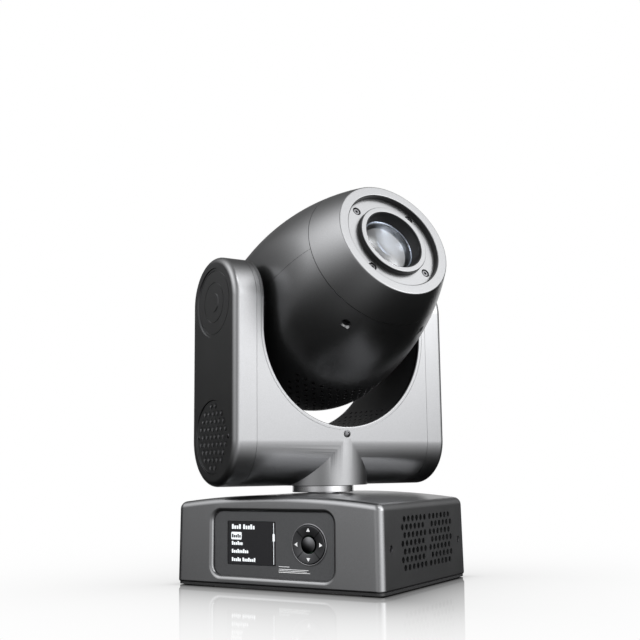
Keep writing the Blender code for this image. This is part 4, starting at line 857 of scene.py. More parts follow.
panel_size = (panel_high.x - panel_low.x, panel_high.z - panel_low.z)
plate_round = WINDOW_ROUND + PANEL_MARGIN
plate = window_shape(*panel_size, plate_round, panel_front, panel_high.y, window_middle)
control_plate = make_solid("control_plate", plate)
cut_ends = (panel_front - THROUGH, panel_high.y + THROUGH)
combine(control_plate, window_shape(*screen_size, SCREEN_CORNER, *cut_ends, screen_middle))
combine(control_plate, rod_shape(PAD_BORE, *cut_ends, "Y", (pad_middle[0], 0, pad_middle[1])))
finish(control_plate, BASE, "panel_film", "base", "control_panel")
rim_outer = PAD_BORE + RIM_WIDTH
rim_profile = [(PAD_BORE, RIM_SUNK), (rim_outer, RIM_SUNK), (rim_outer, RIM_PROUD), (PAD_BORE, RIM_PROUD)]
key_rim = make_solid("key_rim", spun_shape(eased(rim_profile, 0.0005)))
rim_place = facing((0, -1, 0), (pad_middle[0], panel_front, pad_middle[1]))
finish(key_rim, rim_place, "rim_plastic", "base", slot="key_plastic")

# %% [markdown]
# ## The display
# The display is a black pane set in the plate's window. What it shows is a menu. Real lettering would
# copy somebody's screen, so rows of blocks stand for its words: a title, one lit line, more lines, and a
# scroll bar at the right. Each block is a thin rounded tile just in front of the pane.

# %% Pane and menu blocks
PANE_PLAY = 0.0006
PANE_CORNER = 0.001
pane_front = panel_front + 0.0007
pane_size = [side - PANE_PLAY for side in screen_size]
pane = window_shape(*pane_size, PANE_CORNER, pane_front, screen_high.y, screen_middle)
display_pane = make_solid("display_pane", pane)
finish(display_pane, BASE, "display_glass", "base", "display")
LETTER_SHARE = 0.46
MENU_LEFT = -0.0512
MENU_ROWS = (
    (0.0552, 0.0046, (4, 5)),
    (0.0464, 0.0036, (5,)),
    (0.0394, 0.0036, (6,)),
    (0.0318, 0.0036, (9,)),
    (0.0239, 0.0036, (5, 7)),
)
LIT_ROW = 1
LIT_SIZE = (0.0124, 0.0072)
LIT_MARGIN = 0.0008
TILE = 0.00008
SCROLL_BAR = (0.0005, 0.0390, (-0.0018, 0.0398))
SCROLL_THUMB = (0.0024, 0.0070, (-0.0018, 0.0455))


def tile(width, height, middle, layer=0):
    """A thin rounded tile on the pane."""
    corner = min(width, height) * 0.15
    return window_shape(width, height, corner, pane_front - TILE * (1 + layer), pane_front + TILE, middle)


def block_words(counts, letter_height, level):
    """Rows of blocks in place of letters, with every third one taller."""
    blocks = []
    start = MENU_LEFT
    letter = letter_height * LETTER_SHARE
    for count in counts:
        for number in range(count):
            tall = letter_height * (1 if number % 3 == 0 else 0.72)
            middle = (start + letter / 2, level - letter_height / 2 + tall / 2)
            blocks.append(tile(letter, tall, middle, layer=1))
            start += letter * 1.35
        start += letter
    return blocks


lit_middle = (MENU_LEFT + LIT_SIZE[0] / 2 - LIT_MARGIN, MENU_ROWS[LIT_ROW][0])
bright_tiles = [tile(*SCROLL_BAR), tile(*SCROLL_THUMB), tile(*LIT_SIZE, lit_middle)]
dark_tiles = []
for number, (level, letter_height, counts) in enumerate(MENU_ROWS):
    (dark_tiles if number == LIT_ROW else bright_tiles).extend(block_words(counts, letter_height, level))
print("menu rows", len(MENU_ROWS))

# %% [markdown]
# ## The keys
# Four keys share a ring round a domed centre key. Each is a quarter of a ring whose face dips towards the
# middle. One spun quarter could be copied, but they lie in four CAD nodes that move by themselves, so
# each is spun in its own place. White ink marks show which way each one goes.

# %% Ring keys
KEY_OUTER = 0.0178
KEY_INNER = 0.0084
KEY_SPLIT = 0.0008
KEY_PROUD = 0.0015
KEY_DEPTH = 0.0040


def ring_key(middle_angle):
    """A quarter of a dished ring about Z, with a straight gap to its neighbours."""
    width = KEY_OUTER - KEY_INNER
    face = []
    for share in (0, 0.25, 0.5, 0.75, 1):
        height = KEY_PROUD * 1.25 - KEY_PROUD * 0.55 * (1 - share) ** 1.5
        face.append((KEY_INNER + width * share, height))
    points = eased([(KEY_OUTER, -KEY_DEPTH), *face[::-1], (KEY_INNER, -KEY_DEPTH)], 0.0006)
    shape = bmesh.new()
    corners = [shape.verts.new((radius, 0, height)) for radius, height in points]
    profile = shape.faces.new(corners)
    spread = math.pi / 2 - KEY_SPLIT / KEY_OUTER
    swing(shape, middle_angle - spread / 2, "Z")
    bmesh.ops.spin(shape, geom=[profile], cent=(0, 0, 0), axis=(0, 0, 1), angle=spread, steps=20)
    return shape


pad_place = Matrix.Translation((pad_middle[0], panel_front, pad_middle[1]))
pad_place = pad_place @ Matrix.Rotation(math.radians(90), 4, "X")
for word, angle in (("right", 0), ("up", 90), ("left", 180), ("down", 270)):
    key = make_solid(f"{word}_key", ring_key(math.radians(angle)))
    finish(key, pad_place, "key_plastic", f"key_{word}", f"key_{word}")

# %% [markdown]
# The centre key is a low dome, spun from a parabola. The arrows, the notes and the menu are thin tiles that
# stand a hair proud of what they are printed on. Ink could be a texture, but tiles stay sharp at any size.

# %% Centre key, arrows and printed tiles
ENTER_RADIUS = 0.0072
dome = [(ENTER_RADIUS * s, KEY_PROUD * (2.1 - 1.1 * s**2)) for s in [step / 10 for step in range(11)]]
enter_profile = dome + [(ENTER_RADIUS, -KEY_DEPTH), (0, -KEY_DEPTH)]
centre_key = make_solid("centre_key", spun_shape(enter_profile, closed=False))
finish(centre_key, pad_place, "key_plastic", "key_enter", "key_enter")
NOTE_LEFT = 0.0045
NOTE_LINES = ((0.0120, 0.0190), (0.0330, 0.0166), (0.0310, 0.0152), (0.0350, 0.0138))
ARROW_RADIUS = 0.0023
ARROW_REACH = 0.0132
for word, angle in (("right", 0), ("up", 90), ("left", 180), ("down", 270)):
    arrow = bmesh.new()
    size = {"radius1": ARROW_RADIUS, "radius2": ARROW_RADIUS, "depth": 2 * TILE}
    bmesh.ops.create_cone(arrow, cap_ends=True, segments=3, **size)
    swing(arrow, math.radians(-90), "Z")
    carry(arrow, (ARROW_REACH, 0, KEY_PROUD * 1.12))
    swing(arrow, math.radians(angle), "Z")
    mark = make_solid(f"{word}_arrow", arrow)
    finish(mark, pad_place, "white_ink", f"key_{word}", slot="key_plastic")

note_lines = []
for width, level in NOTE_LINES:
    middle = (NOTE_LEFT + width / 2, level)
    note_lines.append(window_shape(width, 0.0005, 0.0001, panel_front - TILE, panel_front + TILE, middle))
note = make_solid("note_lines", gather(note_lines))
finish(note, BASE, "white_ink", "base", slot="panel_film")
menu_blocks = make_solid("menu_blocks", gather(bright_tiles))
finish(menu_blocks, BASE, "screen_glow", "base", slot="display_glass")
lit_row_blocks = make_solid("lit_row_blocks", gather(dark_tiles))
finish(lit_row_blocks, BASE, "display_glass", "base")

# %% [markdown]
# ## The collar
# Between base and yoke a bright turned collar shows. The CAD shaft has few facets, which a mirror-like
# surface would betray, so its visible stretch is spun again with many steps.

# %% Turned collar and shaft
shaft_low, shaft_high = reach("pan_shaft", YOKE)
collar_radius = shaft_high.x
COLLAR_FOOT = base_high.z + 0.0010
COLLAR_TOP = reach("side_cover_left", YOKE)[0].z - 0.0003
SHAFT_RADIUS = 0.0160
SHAFT_BORE = 0.0115
NECK = 0.0200
FLANGE = (0.0280, 0.0047)
flange_foot = shaft_high.z - FLANGE[1]
shaft_profile = [
    (FLANGE[0], shaft_high.z), (FLANGE[0], flange_foot), (NECK, flange_foot), (NECK, COLLAR_TOP),
    (collar_radius, COLLAR_TOP), (collar_radius, COLLAR_FOOT), (SHAFT_RADIUS, COLLAR_FOOT),
    (SHAFT_RADIUS, shaft_low.z), (SHAFT_BORE, shaft_low.z), (SHAFT_BORE, shaft_high.z),
]
pan_collar = make_solid("pan_collar", spun_shape(eased(shaft_profile, 0.0006), steps=FINE))
finish(pan_collar, YOKE, "satin_silver", "yoke", "pan_shaft")

# %% [markdown]
# ## The yoke
# Seen from the side the yoke is a stadium: round below, straight, and round about the tilt axis. A circle
# whose upper half is lifted makes that outline, and an extrusion makes the body. The same stretched
# circle, larger and turned, cuts the U between the arms.

# %% Stretched circles
side_low, side_high = reach("side_cover_right", YOKE)
yoke_radius = (side_high.y - side_low.y) / 2
yoke_half = side_high.x
yoke_bottom = side_low.z
low_arc = yoke_bottom + yoke_radius
GAP = 0.0003
cover_half = side_low.x - GAP
liner_low, liner_high = reach("yoke_liner", YOKE)
LINER_WALL = 0.0020
opening_radius = liner_high.x - LINER_WALL - GAP
opening_middle = liner_low.z + LINER_WALL + GAP + opening_radius
YOKE_WALL = 0.0025
COVER_PARTING = GAP / 2
PAST_THE_ARMS = 0.30


def stretched(radius, foot_middle, lift, start, end, axis):
    """A round-ended outline, lifted by an amount above its lower middle, extruded along X or Y."""
    shape = bmesh.new()
    bmesh.ops.create_circle(shape, cap_ends=True, segments=FACETS, radius=radius)
    half_step = Matrix.Rotation(math.pi / FACETS, 3, "Z")
    bmesh.ops.rotate(shape, cent=(0, 0, 0), matrix=half_step, verts=shape.verts)
    bmesh.ops.translate(shape, vec=(0, lift, 0), verts=[v for v in shape.verts if v.co.y > 0])
    swing(shape, math.radians(90), "X")
    grown = bmesh.ops.extrude_face_region(shape, geom=shape.faces[:])["geom"]
    moved = [v for v in grown if isinstance(v, bmesh.types.BMVert)]
    bmesh.ops.translate(shape, vec=(0, end - start, 0), verts=moved)
    carry(shape, (0, start, foot_middle))
    if axis == "X":
        swing(shape, math.radians(-90), "Z")
    return shape


def side_outline(radius, start, end):
    return stretched(radius, low_arc, tilt_height - low_arc, start, end, "X")


def u_outline(radius, start, end):
    return stretched(radius, opening_middle, PAST_THE_ARMS, start, end, "Y")


print("yoke", round(2 * yoke_half, 4), "wide; U radius", round(opening_radius, 4))

# %% [markdown]
# The middle casing is one hollow shape, split into a front and a rear cover. It is made whole, neck and
# all, and then halved, so that both covers match exactly at their seam. A fine groove runs round the U, a
# few millimetres from its edge, where the cover is thinned for the liner.

# %% Middle casing
NECK_PROUD = 0.0002
NECK_PLAY = 0.001
GROOVE_INSET = 0.0036
GROOVE_WIDTH = 0.0004
GROOVE_DEPTH = 0.0005
EDGE_SOFT = 0.0014
ON_SURFACE = 0.0002
neck_radius = yoke_radius + NECK_PROUD
wide = 4 * yoke_radius


def u_groove():
    """A thin U-shaped wall that only reaches a little below the yoke's skin."""
    ring = make_solid("ring", u_outline(opening_radius + GROOVE_INSET + GROOVE_WIDTH, -wide, wide))
    combine(ring, u_outline(opening_radius + GROOVE_INSET, -2 * wide, 2 * wide))
    combine(ring, side_outline(yoke_radius - GROOVE_DEPTH, -wide, wide))
    return as_shape(ring)


def middle_casing():
    body = make_solid("body", side_outline(yoke_radius, -cover_half, cover_half))
    neck = rod_shape(neck_radius, yoke_bottom, low_arc, sides=FINE)
    combine(body, neck, "UNION")
    combine(body, side_outline(yoke_radius - YOKE_WALL, -2 * cover_half, 2 * cover_half))
    hollow = rod_shape(neck_radius - YOKE_WALL, yoke_bottom + YOKE_WALL, low_arc + YOKE_WALL, sides=FINE)
    combine(body, hollow)
    combine(body, u_outline(opening_radius, -wide, wide))
    combine(body, u_groove())
    combine(body, rod_shape(NECK + NECK_PLAY, yoke_bottom - THROUGH, yoke_bottom + THROUGH))
    return body


def soften_u_edge(piece):
    """Rounds the edge where the U meets the outer skin."""
    shape = bmesh.new()
    shape.from_mesh(piece.data)
    bmesh.ops.remove_doubles(shape, verts=shape.verts, dist=WELD)
    chosen = []
    for edge in shape.edges:
        if len(edge.link_faces) != 2 or not edge.is_convex:
            continue
        on_u = [on_the_u(vertex.co) and outside(vertex.co) for vertex in edge.verts]
        if all(on_u) and edge.calc_face_angle(0) > GENTLE_TURN:
            chosen.append(edge)
    soften(shape, chosen, EDGE_SOFT, 3, clamp=True)
    shape.to_mesh(piece.data)
    shape.free()
    return len(chosen)


def on_the_u(point):
    """True on the wall of the U."""
    below = math.hypot(point.x, point.z - opening_middle) if point.z < opening_middle else abs(point.x)
    return abs(below - opening_radius) < ON_SURFACE


def outside(point):
    """True on the stadium's own surface."""
    nearest = min(max(point.z, low_arc), tilt_height)
    return abs(math.hypot(point.y, point.z - nearest) - yoke_radius) < ON_SURFACE


whole_casing = middle_casing()
print(soften_u_edge(whole_casing), "edges softened round the U")
for word, side in (("front", -1), ("rear", 1)):
    cover = whole_casing.copy()
    cover.data = whole_casing.data.copy()
    cover.name = f"{word}_cover"
    scene.collection.objects.link(cover)
    ends = sorted((-side * wide, side * COVER_PARTING))
    combine(cover, box_shape((-wide, ends[0], -wide), (wide, ends[1], 2 * wide)))
    finish(cover, YOKE, "body_paint", "yoke", f"yoke_{word}_cover")
bpy.data.meshes.remove(whole_casing.data)

# %% [markdown]
# ## The side covers
# Each arm ends in a cap with a generous round. The cap is an extruded stadium whose outer rim is bevelled
# and whose open side is thickened into a wall. A shallow disc marks the tilt axis, and below it a round
# grille lets air in.

# %% Caps, discs and bores
CAP_ROUND = 0.0063
DISC_RADIUS = 0.0350
DISC_DEPTH = 0.0010
DISC_RINGS = (0.0325, 0.0205)
RING_WIDTH = 0.0007
RING_DEPTH = 0.0006
HUB_RADIUS = 0.0095
grille_low, grille_high = reach("arm_grille_left", YOKE)
grille_height = (grille_low.z + grille_high.z) / 2
grille_radius = (grille_high.z - grille_low.z) / 2
BORE_GAP = 0.0006


def side_cap(side):
    shape = side_outline(yoke_radius, *sorted((side * (cover_half + GAP), side * yoke_half)))
    rim = [e for e in shape.edges if all(abs(v.co.x) > yoke_half - WELD for v in e.verts)]
    soften(shape, rim, CAP_ROUND, 8)
    shape.normal_update()
    inner = [face for face in shape.faces if abs(face.calc_center_median().x) < cover_half + 2 * GAP]
    open_side = [face for face in inner if abs(face.normal.x) > 0.9]
    bmesh.ops.delete(shape, geom=open_side, context="FACES")
    return shape


def disc_cutter(side):
    """A shallow round recess, with a low hub left standing."""
    recess = sorted((side * (yoke_half - DISC_DEPTH), side * (yoke_half + THROUGH)))
    tool = make_solid("tool", rod_shape(DISC_RADIUS, *recess, "X", (0, 0, tilt_height), FINE))
    hub = sorted((side * (yoke_half - THROUGH), side * (yoke_half - DISC_DEPTH * 0.45)))
    combine(tool, rod_shape(HUB_RADIUS, *hub, "X", (0, 0, tilt_height)))
    return as_shape(tool)


def disc_ring(side, radius):
    """A fine groove in the recess's floor."""
    floor_x = side * (yoke_half - DISC_DEPTH)
    ends = sorted((floor_x - side * RING_DEPTH, floor_x + side * RING_DEPTH))
    ring = make_solid("ring", rod_shape(radius, *ends, "X", (0, 0, tilt_height), FINE))
    combine(ring, rod_shape(radius - RING_WIDTH, -1, 1, "X", (0, 0, tilt_height), FINE))
    return as_shape(ring)


for word, side in (("left", -1), ("right", 1)):
    cap = thicken(make_solid(f"{word}_arm_cap", side_cap(side)), YOKE_WALL)
    combine(cap, disc_cutter(side))
    for radius in DISC_RINGS:
        combine(cap, disc_ring(side, radius))
    deep = sorted((side * (yoke_half - 0.01), side * (yoke_half + 0.01)))
    combine(cap, rod_shape(grille_radius + BORE_GAP, *deep, "X", (0, 0, grille_height), FINE))
    finish(cap, YOKE, "body_paint", "yoke", f"side_cover_{word}")

# %% [markdown]
# The grille is a round plate full of staggered holes, held by two small screws at its sides. Each hole is
# a short cone with few sides, since there are dozens of them and they are only a few millimetres wide.

# %% Arm grilles
GRILLE_ROWS = 9
GRILLE_PITCH = 0.0086
GRILLE_ROW_PITCH = 0.0075
GRILLE_HOLE = 0.0018
GRILLE_FLARE = 0.0012
GRILLE_EDGE = 0.0042
GRILLE_SCREW = 0.0312
GRILLE_DRILL = 0.005


def grille_holes():
    """Centres (y, z) of the holes, measured from the plate's middle, in staggered rows."""
    middles = []
    for row in range(GRILLE_ROWS):
        z = (row - (GRILLE_ROWS - 1) / 2) * GRILLE_ROW_PITCH
        shift = 0.0 if row % 2 else GRILLE_PITCH / 2
        for column in range(-5, 6):
            y = shift + column * GRILLE_PITCH
            near_screw = abs(abs(y) - GRILLE_SCREW) < GRILLE_HOLE * 2 and abs(z) < GRILLE_HOLE * 2
            if math.hypot(y, z) < grille_radius - GRILLE_EDGE + 0.001 and not near_screw:
                middles.append((y, z))
    return middles


for word, side in (("left", -1), ("right", 1)):
    low, high = reach(f"arm_grille_{word}", YOKE)
    face_x = side * max(abs(low.x), abs(high.x))
    back_x = side * min(abs(low.x), abs(high.x))
    plate = rod_shape(grille_radius, *sorted((face_x, back_x)), "X", (0, 0, grille_height), FINE)
    grille = make_solid(f"{word}_grille", plate)
    drills = []
    for y, z in grille_holes():
        where = (face_x + side * BEYOND, GRILLE_DRILL, (y, grille_height + z))
        drills.append(flared_drill(GRILLE_HOLE, GRILLE_FLARE, side, *where, VENT_SIDES))
    combine(grille, gather(drills))
    finish(grille, YOKE, "body_paint", "yoke", f"arm_grille_{word}", slot="dark_plastic")
    for number, way in enumerate((-1, 1), 1):
        seat = YOKE @ facing((side, 0, 0), (face_x - side * 0.0002, way * GRILLE_SCREW, grille_height))
        set_screw(cross_screw(0.0022, 0.0009), f"{word}_grille_screw_{number}", seat, "yoke")
print(len(grille_holes()), "holes in each grille")

# %% [markdown]
# ## The liner
# A dark strip lines the U and hides the works. At the bottom it is pierced in rows, so that warm air can
# rise past the head. It is the difference of two stretched circles, trimmed by the yoke's side outline.

# %% Liner with its perforations
LINER_COLUMNS = 15
LINER_STEP = math.radians(5.2)
LINER_ROWS = 7
LINER_ROW_PITCH = 0.0095
LINER_HOLE = 0.0019
TRUNNION_HOLE = 0.0140
LINER_SHADOW = 0.0014
TRIM_WIDTH = 0.0008
liner = make_solid("u_liner", u_outline(opening_radius + GAP + LINER_WALL, -wide, wide))
combine(liner, u_outline(opening_radius + GAP, -2 * wide, 2 * wide))
liner_reach = yoke_radius - YOKE_WALL - LINER_SHADOW
combine(liner, side_outline(liner_reach, -wide, wide), "INTERSECT")
combine(liner, rod_shape(TRUNNION_HOLE, -wide, wide, "X", (0, 0, tilt_height)))
drills = []
for column in range(LINER_COLUMNS):
    angle = (column - (LINER_COLUMNS - 1) / 2) * LINER_STEP
    for row in range(LINER_ROWS):
        y = (row - (LINER_ROWS - 1) / 2) * LINER_ROW_PITCH
        drill = rod_shape(LINER_HOLE, -opening_radius - 0.01, -opening_radius + 0.01, sides=10)
        carry(drill, (0, y, 0))
        swing(drill, angle, "Y")
        carry(drill, (0, 0, opening_middle))
        drills.append(drill)
combine(liner, gather(drills))
finish(liner, YOKE, "dark_plastic", "yoke", "yoke_liner")
print(len(drills), "holes in the liner")

# %% [markdown]
# The liner's edge is a narrow bright bead. A dark gap parts it from the cover's rolled lip.

# %% Bead along the liner's edge
bead = make_solid("liner_bead", u_outline(opening_radius + GAP + LINER_WALL, -wide, wide))
combine(bead, u_outline(opening_radius + GAP / 2, -2 * wide, 2 * wide))
combine(bead, side_outline(liner_reach + TRIM_WIDTH / 2, -wide, wide), "INTERSECT")
combine(bead, side_outline(liner_reach, -2 * wide, 2 * wide))
finish(bead, YOKE, "satin_silver", "yoke")

# %% [markdown]
# One cross-head screw holds the front cover to the frame, just under the U. It takes its place and its
# size from its CAD node.

# %% Screw in the yoke's front
screw_low, screw_high = reach("yoke_screw", YOKE)
screw_height = (screw_low.z + screw_high.z) / 2
seat = YOKE @ facing((0, -1, 0), (0, -yoke_radius, screw_height))
set_screw(cross_screw((screw_high.z - screw_low.z) / 2, 0.0018), "front_screw", seat, "yoke", "yoke_screw")

# %% [markdown]
# ## The head
# The head is an egg: widest at the tilt axis, drawn in to a round face in front and tighter behind. Two
# arcs that both start level at the waist describe it, and their radii follow from the sizes of the
# CAD shells. The sides are eased in, so that the head clears the arms.

# %% Head profile
shell_low, shell_high = reach("upper_shell", HEAD)
cap_low, cap_high = reach("front_cap", HEAD)
tail_low, tail_high = reach("rear_cap", HEAD)
waist = shell_high.y
face_height = cap_high.z
SEAM = 0.0003
REAR_START = -0.0150
SIDE_START = 0.0780
SIDE_SOFT = 0.0140
HEAD_WALL = 0.0025


def radius_near(node, place, height, within=0.0006):
    """The widest a CAD node is near a height of its frame."""
    back = place.inverted()
    points = [back @ vertex.co for vertex in frame["nodes"][node].data.vertices]
    return max(math.hypot(p.x, p.y) for p in points if abs(p.z - height) < within)


face_radius = radius_near("front_cap", HEAD, face_height)
rear_rim = radius_near("rear_cap", HEAD, tail_high.z)


def arc_through(start, height, radius):
    """The radius of an arc that leaves the waist level at a start and passes through a point."""
    run, drop = abs(height - start), waist - radius
    return (run**2 + drop**2) / (2 * drop)


front_arc = arc_through(0, face_height, face_radius)
rear_arc = arc_through(REAR_START, tail_high.z, rear_rim)


def head_radius(height):
    if height >= 0:
        return waist - front_arc + math.sqrt(front_arc**2 - height**2)
    behind = max(0.0, REAR_START - height)
    return waist - rear_arc + math.sqrt(rear_arc**2 - behind**2)


def head_line(low, high, steps):
    heights = [high + (low - high) * step / steps for step in range(steps + 1)]
    return [(head_radius(height), height) for height in heights]


def squeeze(shape):
    """Eases a shape in at the sides."""
    for vertex in shape.verts:
        over = abs(vertex.co.x) - SIDE_START
        if over > 0:
            eased_out = SIDE_START + SIDE_SOFT * (1 - math.exp(-over / SIDE_SOFT))
            vertex.co.x = math.copysign(eased_out, vertex.co.x)
    return shape


print("arcs", round(front_arc, 4), round(rear_arc, 4), "face", round(face_radius, 4))

# %% [markdown]
# The two shells are one thick spun skin, halved at the tilt axis. The belly is pierced in staggered rows,
# and two deep screw wells stand either side of the bottom near the front seam.

# %% Head shells
SHELL_STEPS = 44
BELLY_ROWS = (0.008, 0.000, -0.008, -0.016, -0.024, -0.032, -0.040, -0.048, -0.056)
BELLY_STEP = math.radians(5.6)
BELLY_COLUMNS = 13
BELLY_HOLE = 0.0019
WELL_HEIGHT = 0.0925
WELL_LEAN = math.radians(33)
WELL_RADIUS = 0.0042
WELL_FLARE = 0.0010
WELL_DEPTH = 0.0040
TRUNNION_STEP = 0.002


def radial_drill(radius, height, lean, low, high, side, sides, tip=None):
    """A cylinder that points from the beam outwards, up (+1) or down (-1), leaning towards +X."""
    drill = rod_shape(radius, low, high, sides=sides, tip=tip)
    turn = Matrix.Rotation(lean, 3, "Z") @ Matrix.Rotation(math.radians(-90 * side), 3, "X")
    bmesh.ops.rotate(drill, cent=(0, 0, 0), matrix=turn, verts=drill.verts)
    carry(drill, (0, 0, height))
    return drill


def shell_skin(side):
    shape = bmesh.new()
    line = head_line(shell_low.z, shell_high.z, SHELL_STEPS)
    corners = [shape.verts.new((radius, 0, height)) for radius, height in line]
    edges = [shape.edges.new(pair) for pair in zip(corners, corners[1:])]
    half_turn = {"angle": side * math.pi, "steps": 72}
    bmesh.ops.spin(shape, geom=corners + edges, cent=(0, 0, 0), axis=(0, 0, 1), **half_turn)
    squeeze(shape)
    bmesh.ops.recalc_face_normals(shape, faces=shape.faces)
    if sum(face.normal.y * side for face in shape.faces) < 0:
        bmesh.ops.reverse_faces(shape, faces=shape.faces)
    return shape


def belly_drills(side, rows):
    drills = []
    for number, height in enumerate(rows):
        shift = BELLY_STEP / 2 if number % 2 else 0
        for column in range(BELLY_COLUMNS):
            lean = (column - (BELLY_COLUMNS - 1) / 2) * BELLY_STEP + shift
            skin = head_radius(height)
            ends = (skin - 2 * THROUGH, skin + THROUGH)
            drills.append(radial_drill(BELLY_HOLE, height, lean, *ends, side, 10))
    return drills


def screw_wells():
    drills = []
    skin = head_radius(WELL_HEIGHT)
    for way in (-1, 1):
        well = (WELL_RADIUS, WELL_HEIGHT, way * WELL_LEAN)
        drills.append(radial_drill(*well, skin - THROUGH, skin + THROUGH, -1, 40))
        mouth = (skin - HEAD_WALL / 2, skin + HEAD_WALL / 2)
        drills.append(radial_drill(*well, *mouth, -1, 40, WELL_RADIUS + 2 * WELL_FLARE))
    return drills


REAR_ROWS = (-0.050, -0.058, -0.066, -0.074)
for word, side, rows in (("upper", 1, REAR_ROWS), ("lower", -1, BELLY_ROWS)):
    shell = thicken(new_object(f"{word}_head_shell", shell_skin(side)), HEAD_WALL)
    ends = sorted((side * SEAM / 2, -side * 0.01))
    combine(shell, box_shape((-wide, ends[0], -wide), (wide, ends[1], wide)))
    combine(shell, rod_shape(TRUNNION_HOLE - TRUNNION_STEP, -wide, wide, "X"))
    combine(shell, gather(belly_drills(side, rows)))
    if word == "lower":
        for drill in screw_wells():
            combine(shell, drill)
    finish(shell, HEAD, "body_paint", "head", f"{word}_shell")
print("belly rows", len(BELLY_ROWS))

# %% [markdown]
# Each screw well is a cup behind the hole. Its wall runs down to a floor on which the screw's head sits.

# %% Screw wells
CUP_WALL = 0.0006
CUP_CLEAR = 0.0001
SHELL_SCREW_SIZE = (0.0026, 0.0012)
for number, way in enumerate((-1, 1), 1):
    mouth = head_radius(WELL_HEIGHT) - HEAD_WALL * 0.5
    inner, outer = WELL_RADIUS - CUP_WALL - CUP_CLEAR, WELL_RADIUS - CUP_CLEAR
    under = -WELL_DEPTH - CUP_WALL
    profile = [(0, -WELL_DEPTH), (inner, -WELL_DEPTH), (inner, 0), (outer, 0), (outer, under), (0, under)]
    out_there = Matrix.Rotation(way * WELL_LEAN, 4, "Z") @ Matrix.Rotation(math.radians(90), 4, "X")
    seat = HEAD @ Matrix.Translation((0, 0, WELL_HEIGHT)) @ out_there @ Matrix.Translation((0, 0, mouth))
    # The cup is dark plastic, which is painted shade: it makes the deep hole read black.
    cup = make_solid(f"screw_well_{number}", spun_shape(profile, closed=False, steps=40))
    finish(cup, seat, "dark_plastic", "head")
    screw_seat = seat @ Matrix.Translation((0, 0, -WELL_DEPTH))
    set_screw(cross_screw(*SHELL_SCREW_SIZE), f"shell_screw_{number}", screw_seat, "head")

# %% [markdown]
# ## The face
# The front cap carries a flat ring, then the surface drops to a plate with four sunk screws, and a proud
# bezel holds the lens at the foot of a short cone. All of them are turned, so each is one eased profile.

# %% Front cap, plate and bezel
plate_low, plate_high = reach("lens_plate", HEAD)
bezel_low, bezel_high = reach("lens_bezel", HEAD)
glass_low, glass_high = reach("front_lens", HEAD)
FACE_BORE = 0.0520
LEDGE = 0.0025
FACE_EASE = 0.0011
SEAM_EDGE = 0.0006
outer_line = head_line(cap_low.z, face_height, 12)
ledge_height = plate_low.z - GAP
inner_foot = outer_line[-1][0] - HEAD_WALL
seam_edge = outer_line[-1][0]
outer_line.insert(-1, (head_radius(cap_low.z + SEAM_EDGE), cap_low.z + SEAM_EDGE))
ledge_foot = ledge_height - LEDGE
cap_profile = [(FACE_BORE, face_height), *outer_line]
cap_profile += [(seam_edge - SEAM_EDGE, cap_low.z), (inner_foot, cap_low.z)]
cap_profile += [(FACE_BORE + LEDGE + 0.002, plate_high.z), (FACE_BORE + LEDGE, ledge_foot)]
cap_profile += [(FACE_BORE - LEDGE, ledge_foot), (FACE_BORE - LEDGE, ledge_height), (FACE_BORE, ledge_height)]
front_cap = make_solid("face_cap", spun_shape(eased(cap_profile, FACE_EASE), steps=FINE))
finish(front_cap, HEAD, "body_paint", "head", "front_cap")

bezel_radius = bezel_high.x
plate_profile = [
    (FACE_BORE - GAP, plate_high.z), (FACE_BORE - GAP, plate_low.z),
    (bezel_radius + GAP, plate_low.z), (bezel_radius + GAP, plate_high.z),
]
lens_plate = make_solid("face_plate", spun_shape(eased(plate_profile, 0.0004), steps=FINE))
SCREW_CIRCLE = 0.0450
SINK_RADIUS = 0.0045
SINK_DEPTH = 0.0026
FACE_SCREW_SIZE = (0.0033, 0.0017)
corners = [math.radians(45 + 90 * quarter) for quarter in range(4)]
screw_spots = [Vector((math.cos(angle), math.sin(angle), 0)) * SCREW_CIRCLE for angle in corners]
sink_ends = (plate_high.z - SINK_DEPTH, plate_high.z + THROUGH)
sinks = [rod_shape(SINK_RADIUS, *sink_ends, "Z", spot, 40) for spot in screw_spots]
combine(lens_plate, gather(sinks))
finish(lens_plate, HEAD, "body_paint", "head", "lens_plate")
for number, spot in enumerate(screw_spots, 1):
    seat = HEAD @ Matrix.Translation(spot + Vector((0, 0, plate_high.z - SINK_DEPTH + 0.0004)))
    head = socket_screw(*FACE_SCREW_SIZE)
    set_screw(head, f"socket_screw_{number}", seat, "head", f"face_screw_{number}")

BEZEL_BORE = 0.0320
BEZEL_STRAIGHT = 0.0050
lens_radius = glass_high.x
rim_height = face_height - 0.0120
seat_foot = rim_height - 0.0015
seat_radius = lens_radius - 0.002
straight_foot = face_height - BEZEL_STRAIGHT
bezel_profile = [
    (bezel_radius, face_height), (bezel_radius, bezel_low.z), (seat_radius, bezel_low.z),
    (seat_radius, seat_foot), (lens_radius + GAP, seat_foot), (lens_radius + GAP, rim_height),
    (BEZEL_BORE, straight_foot), (BEZEL_BORE, face_height),
]
bezel = make_solid("lens_ring", spun_shape(eased(bezel_profile, 0.0007), steps=FINE))
finish(bezel, HEAD, "body_paint", "head", "lens_bezel")

# %% [markdown]
# Three walls of the face are lined black to paint the shade that falls in its hollows: the bezel inside
# and outside, and the wall of the round recess. Thin sleeves stand for that painted shade, and thin black
# cups line the wells in which the face's screws are sunk, painting their shade too.

# %% Black sleeves and cups
SLEEVE = 0.0002
LIP = 0.0009


def sleeve(name, radius, low, high):
    """A thin black tube about the beam, which paints shade on a wall of the face."""
    profile = [(radius, low), (radius + SLEEVE, low), (radius + SLEEVE, high), (radius, high)]
    return finish(make_solid(name, spun_shape(profile, steps=FINE)), HEAD, "dark_plastic", "head")
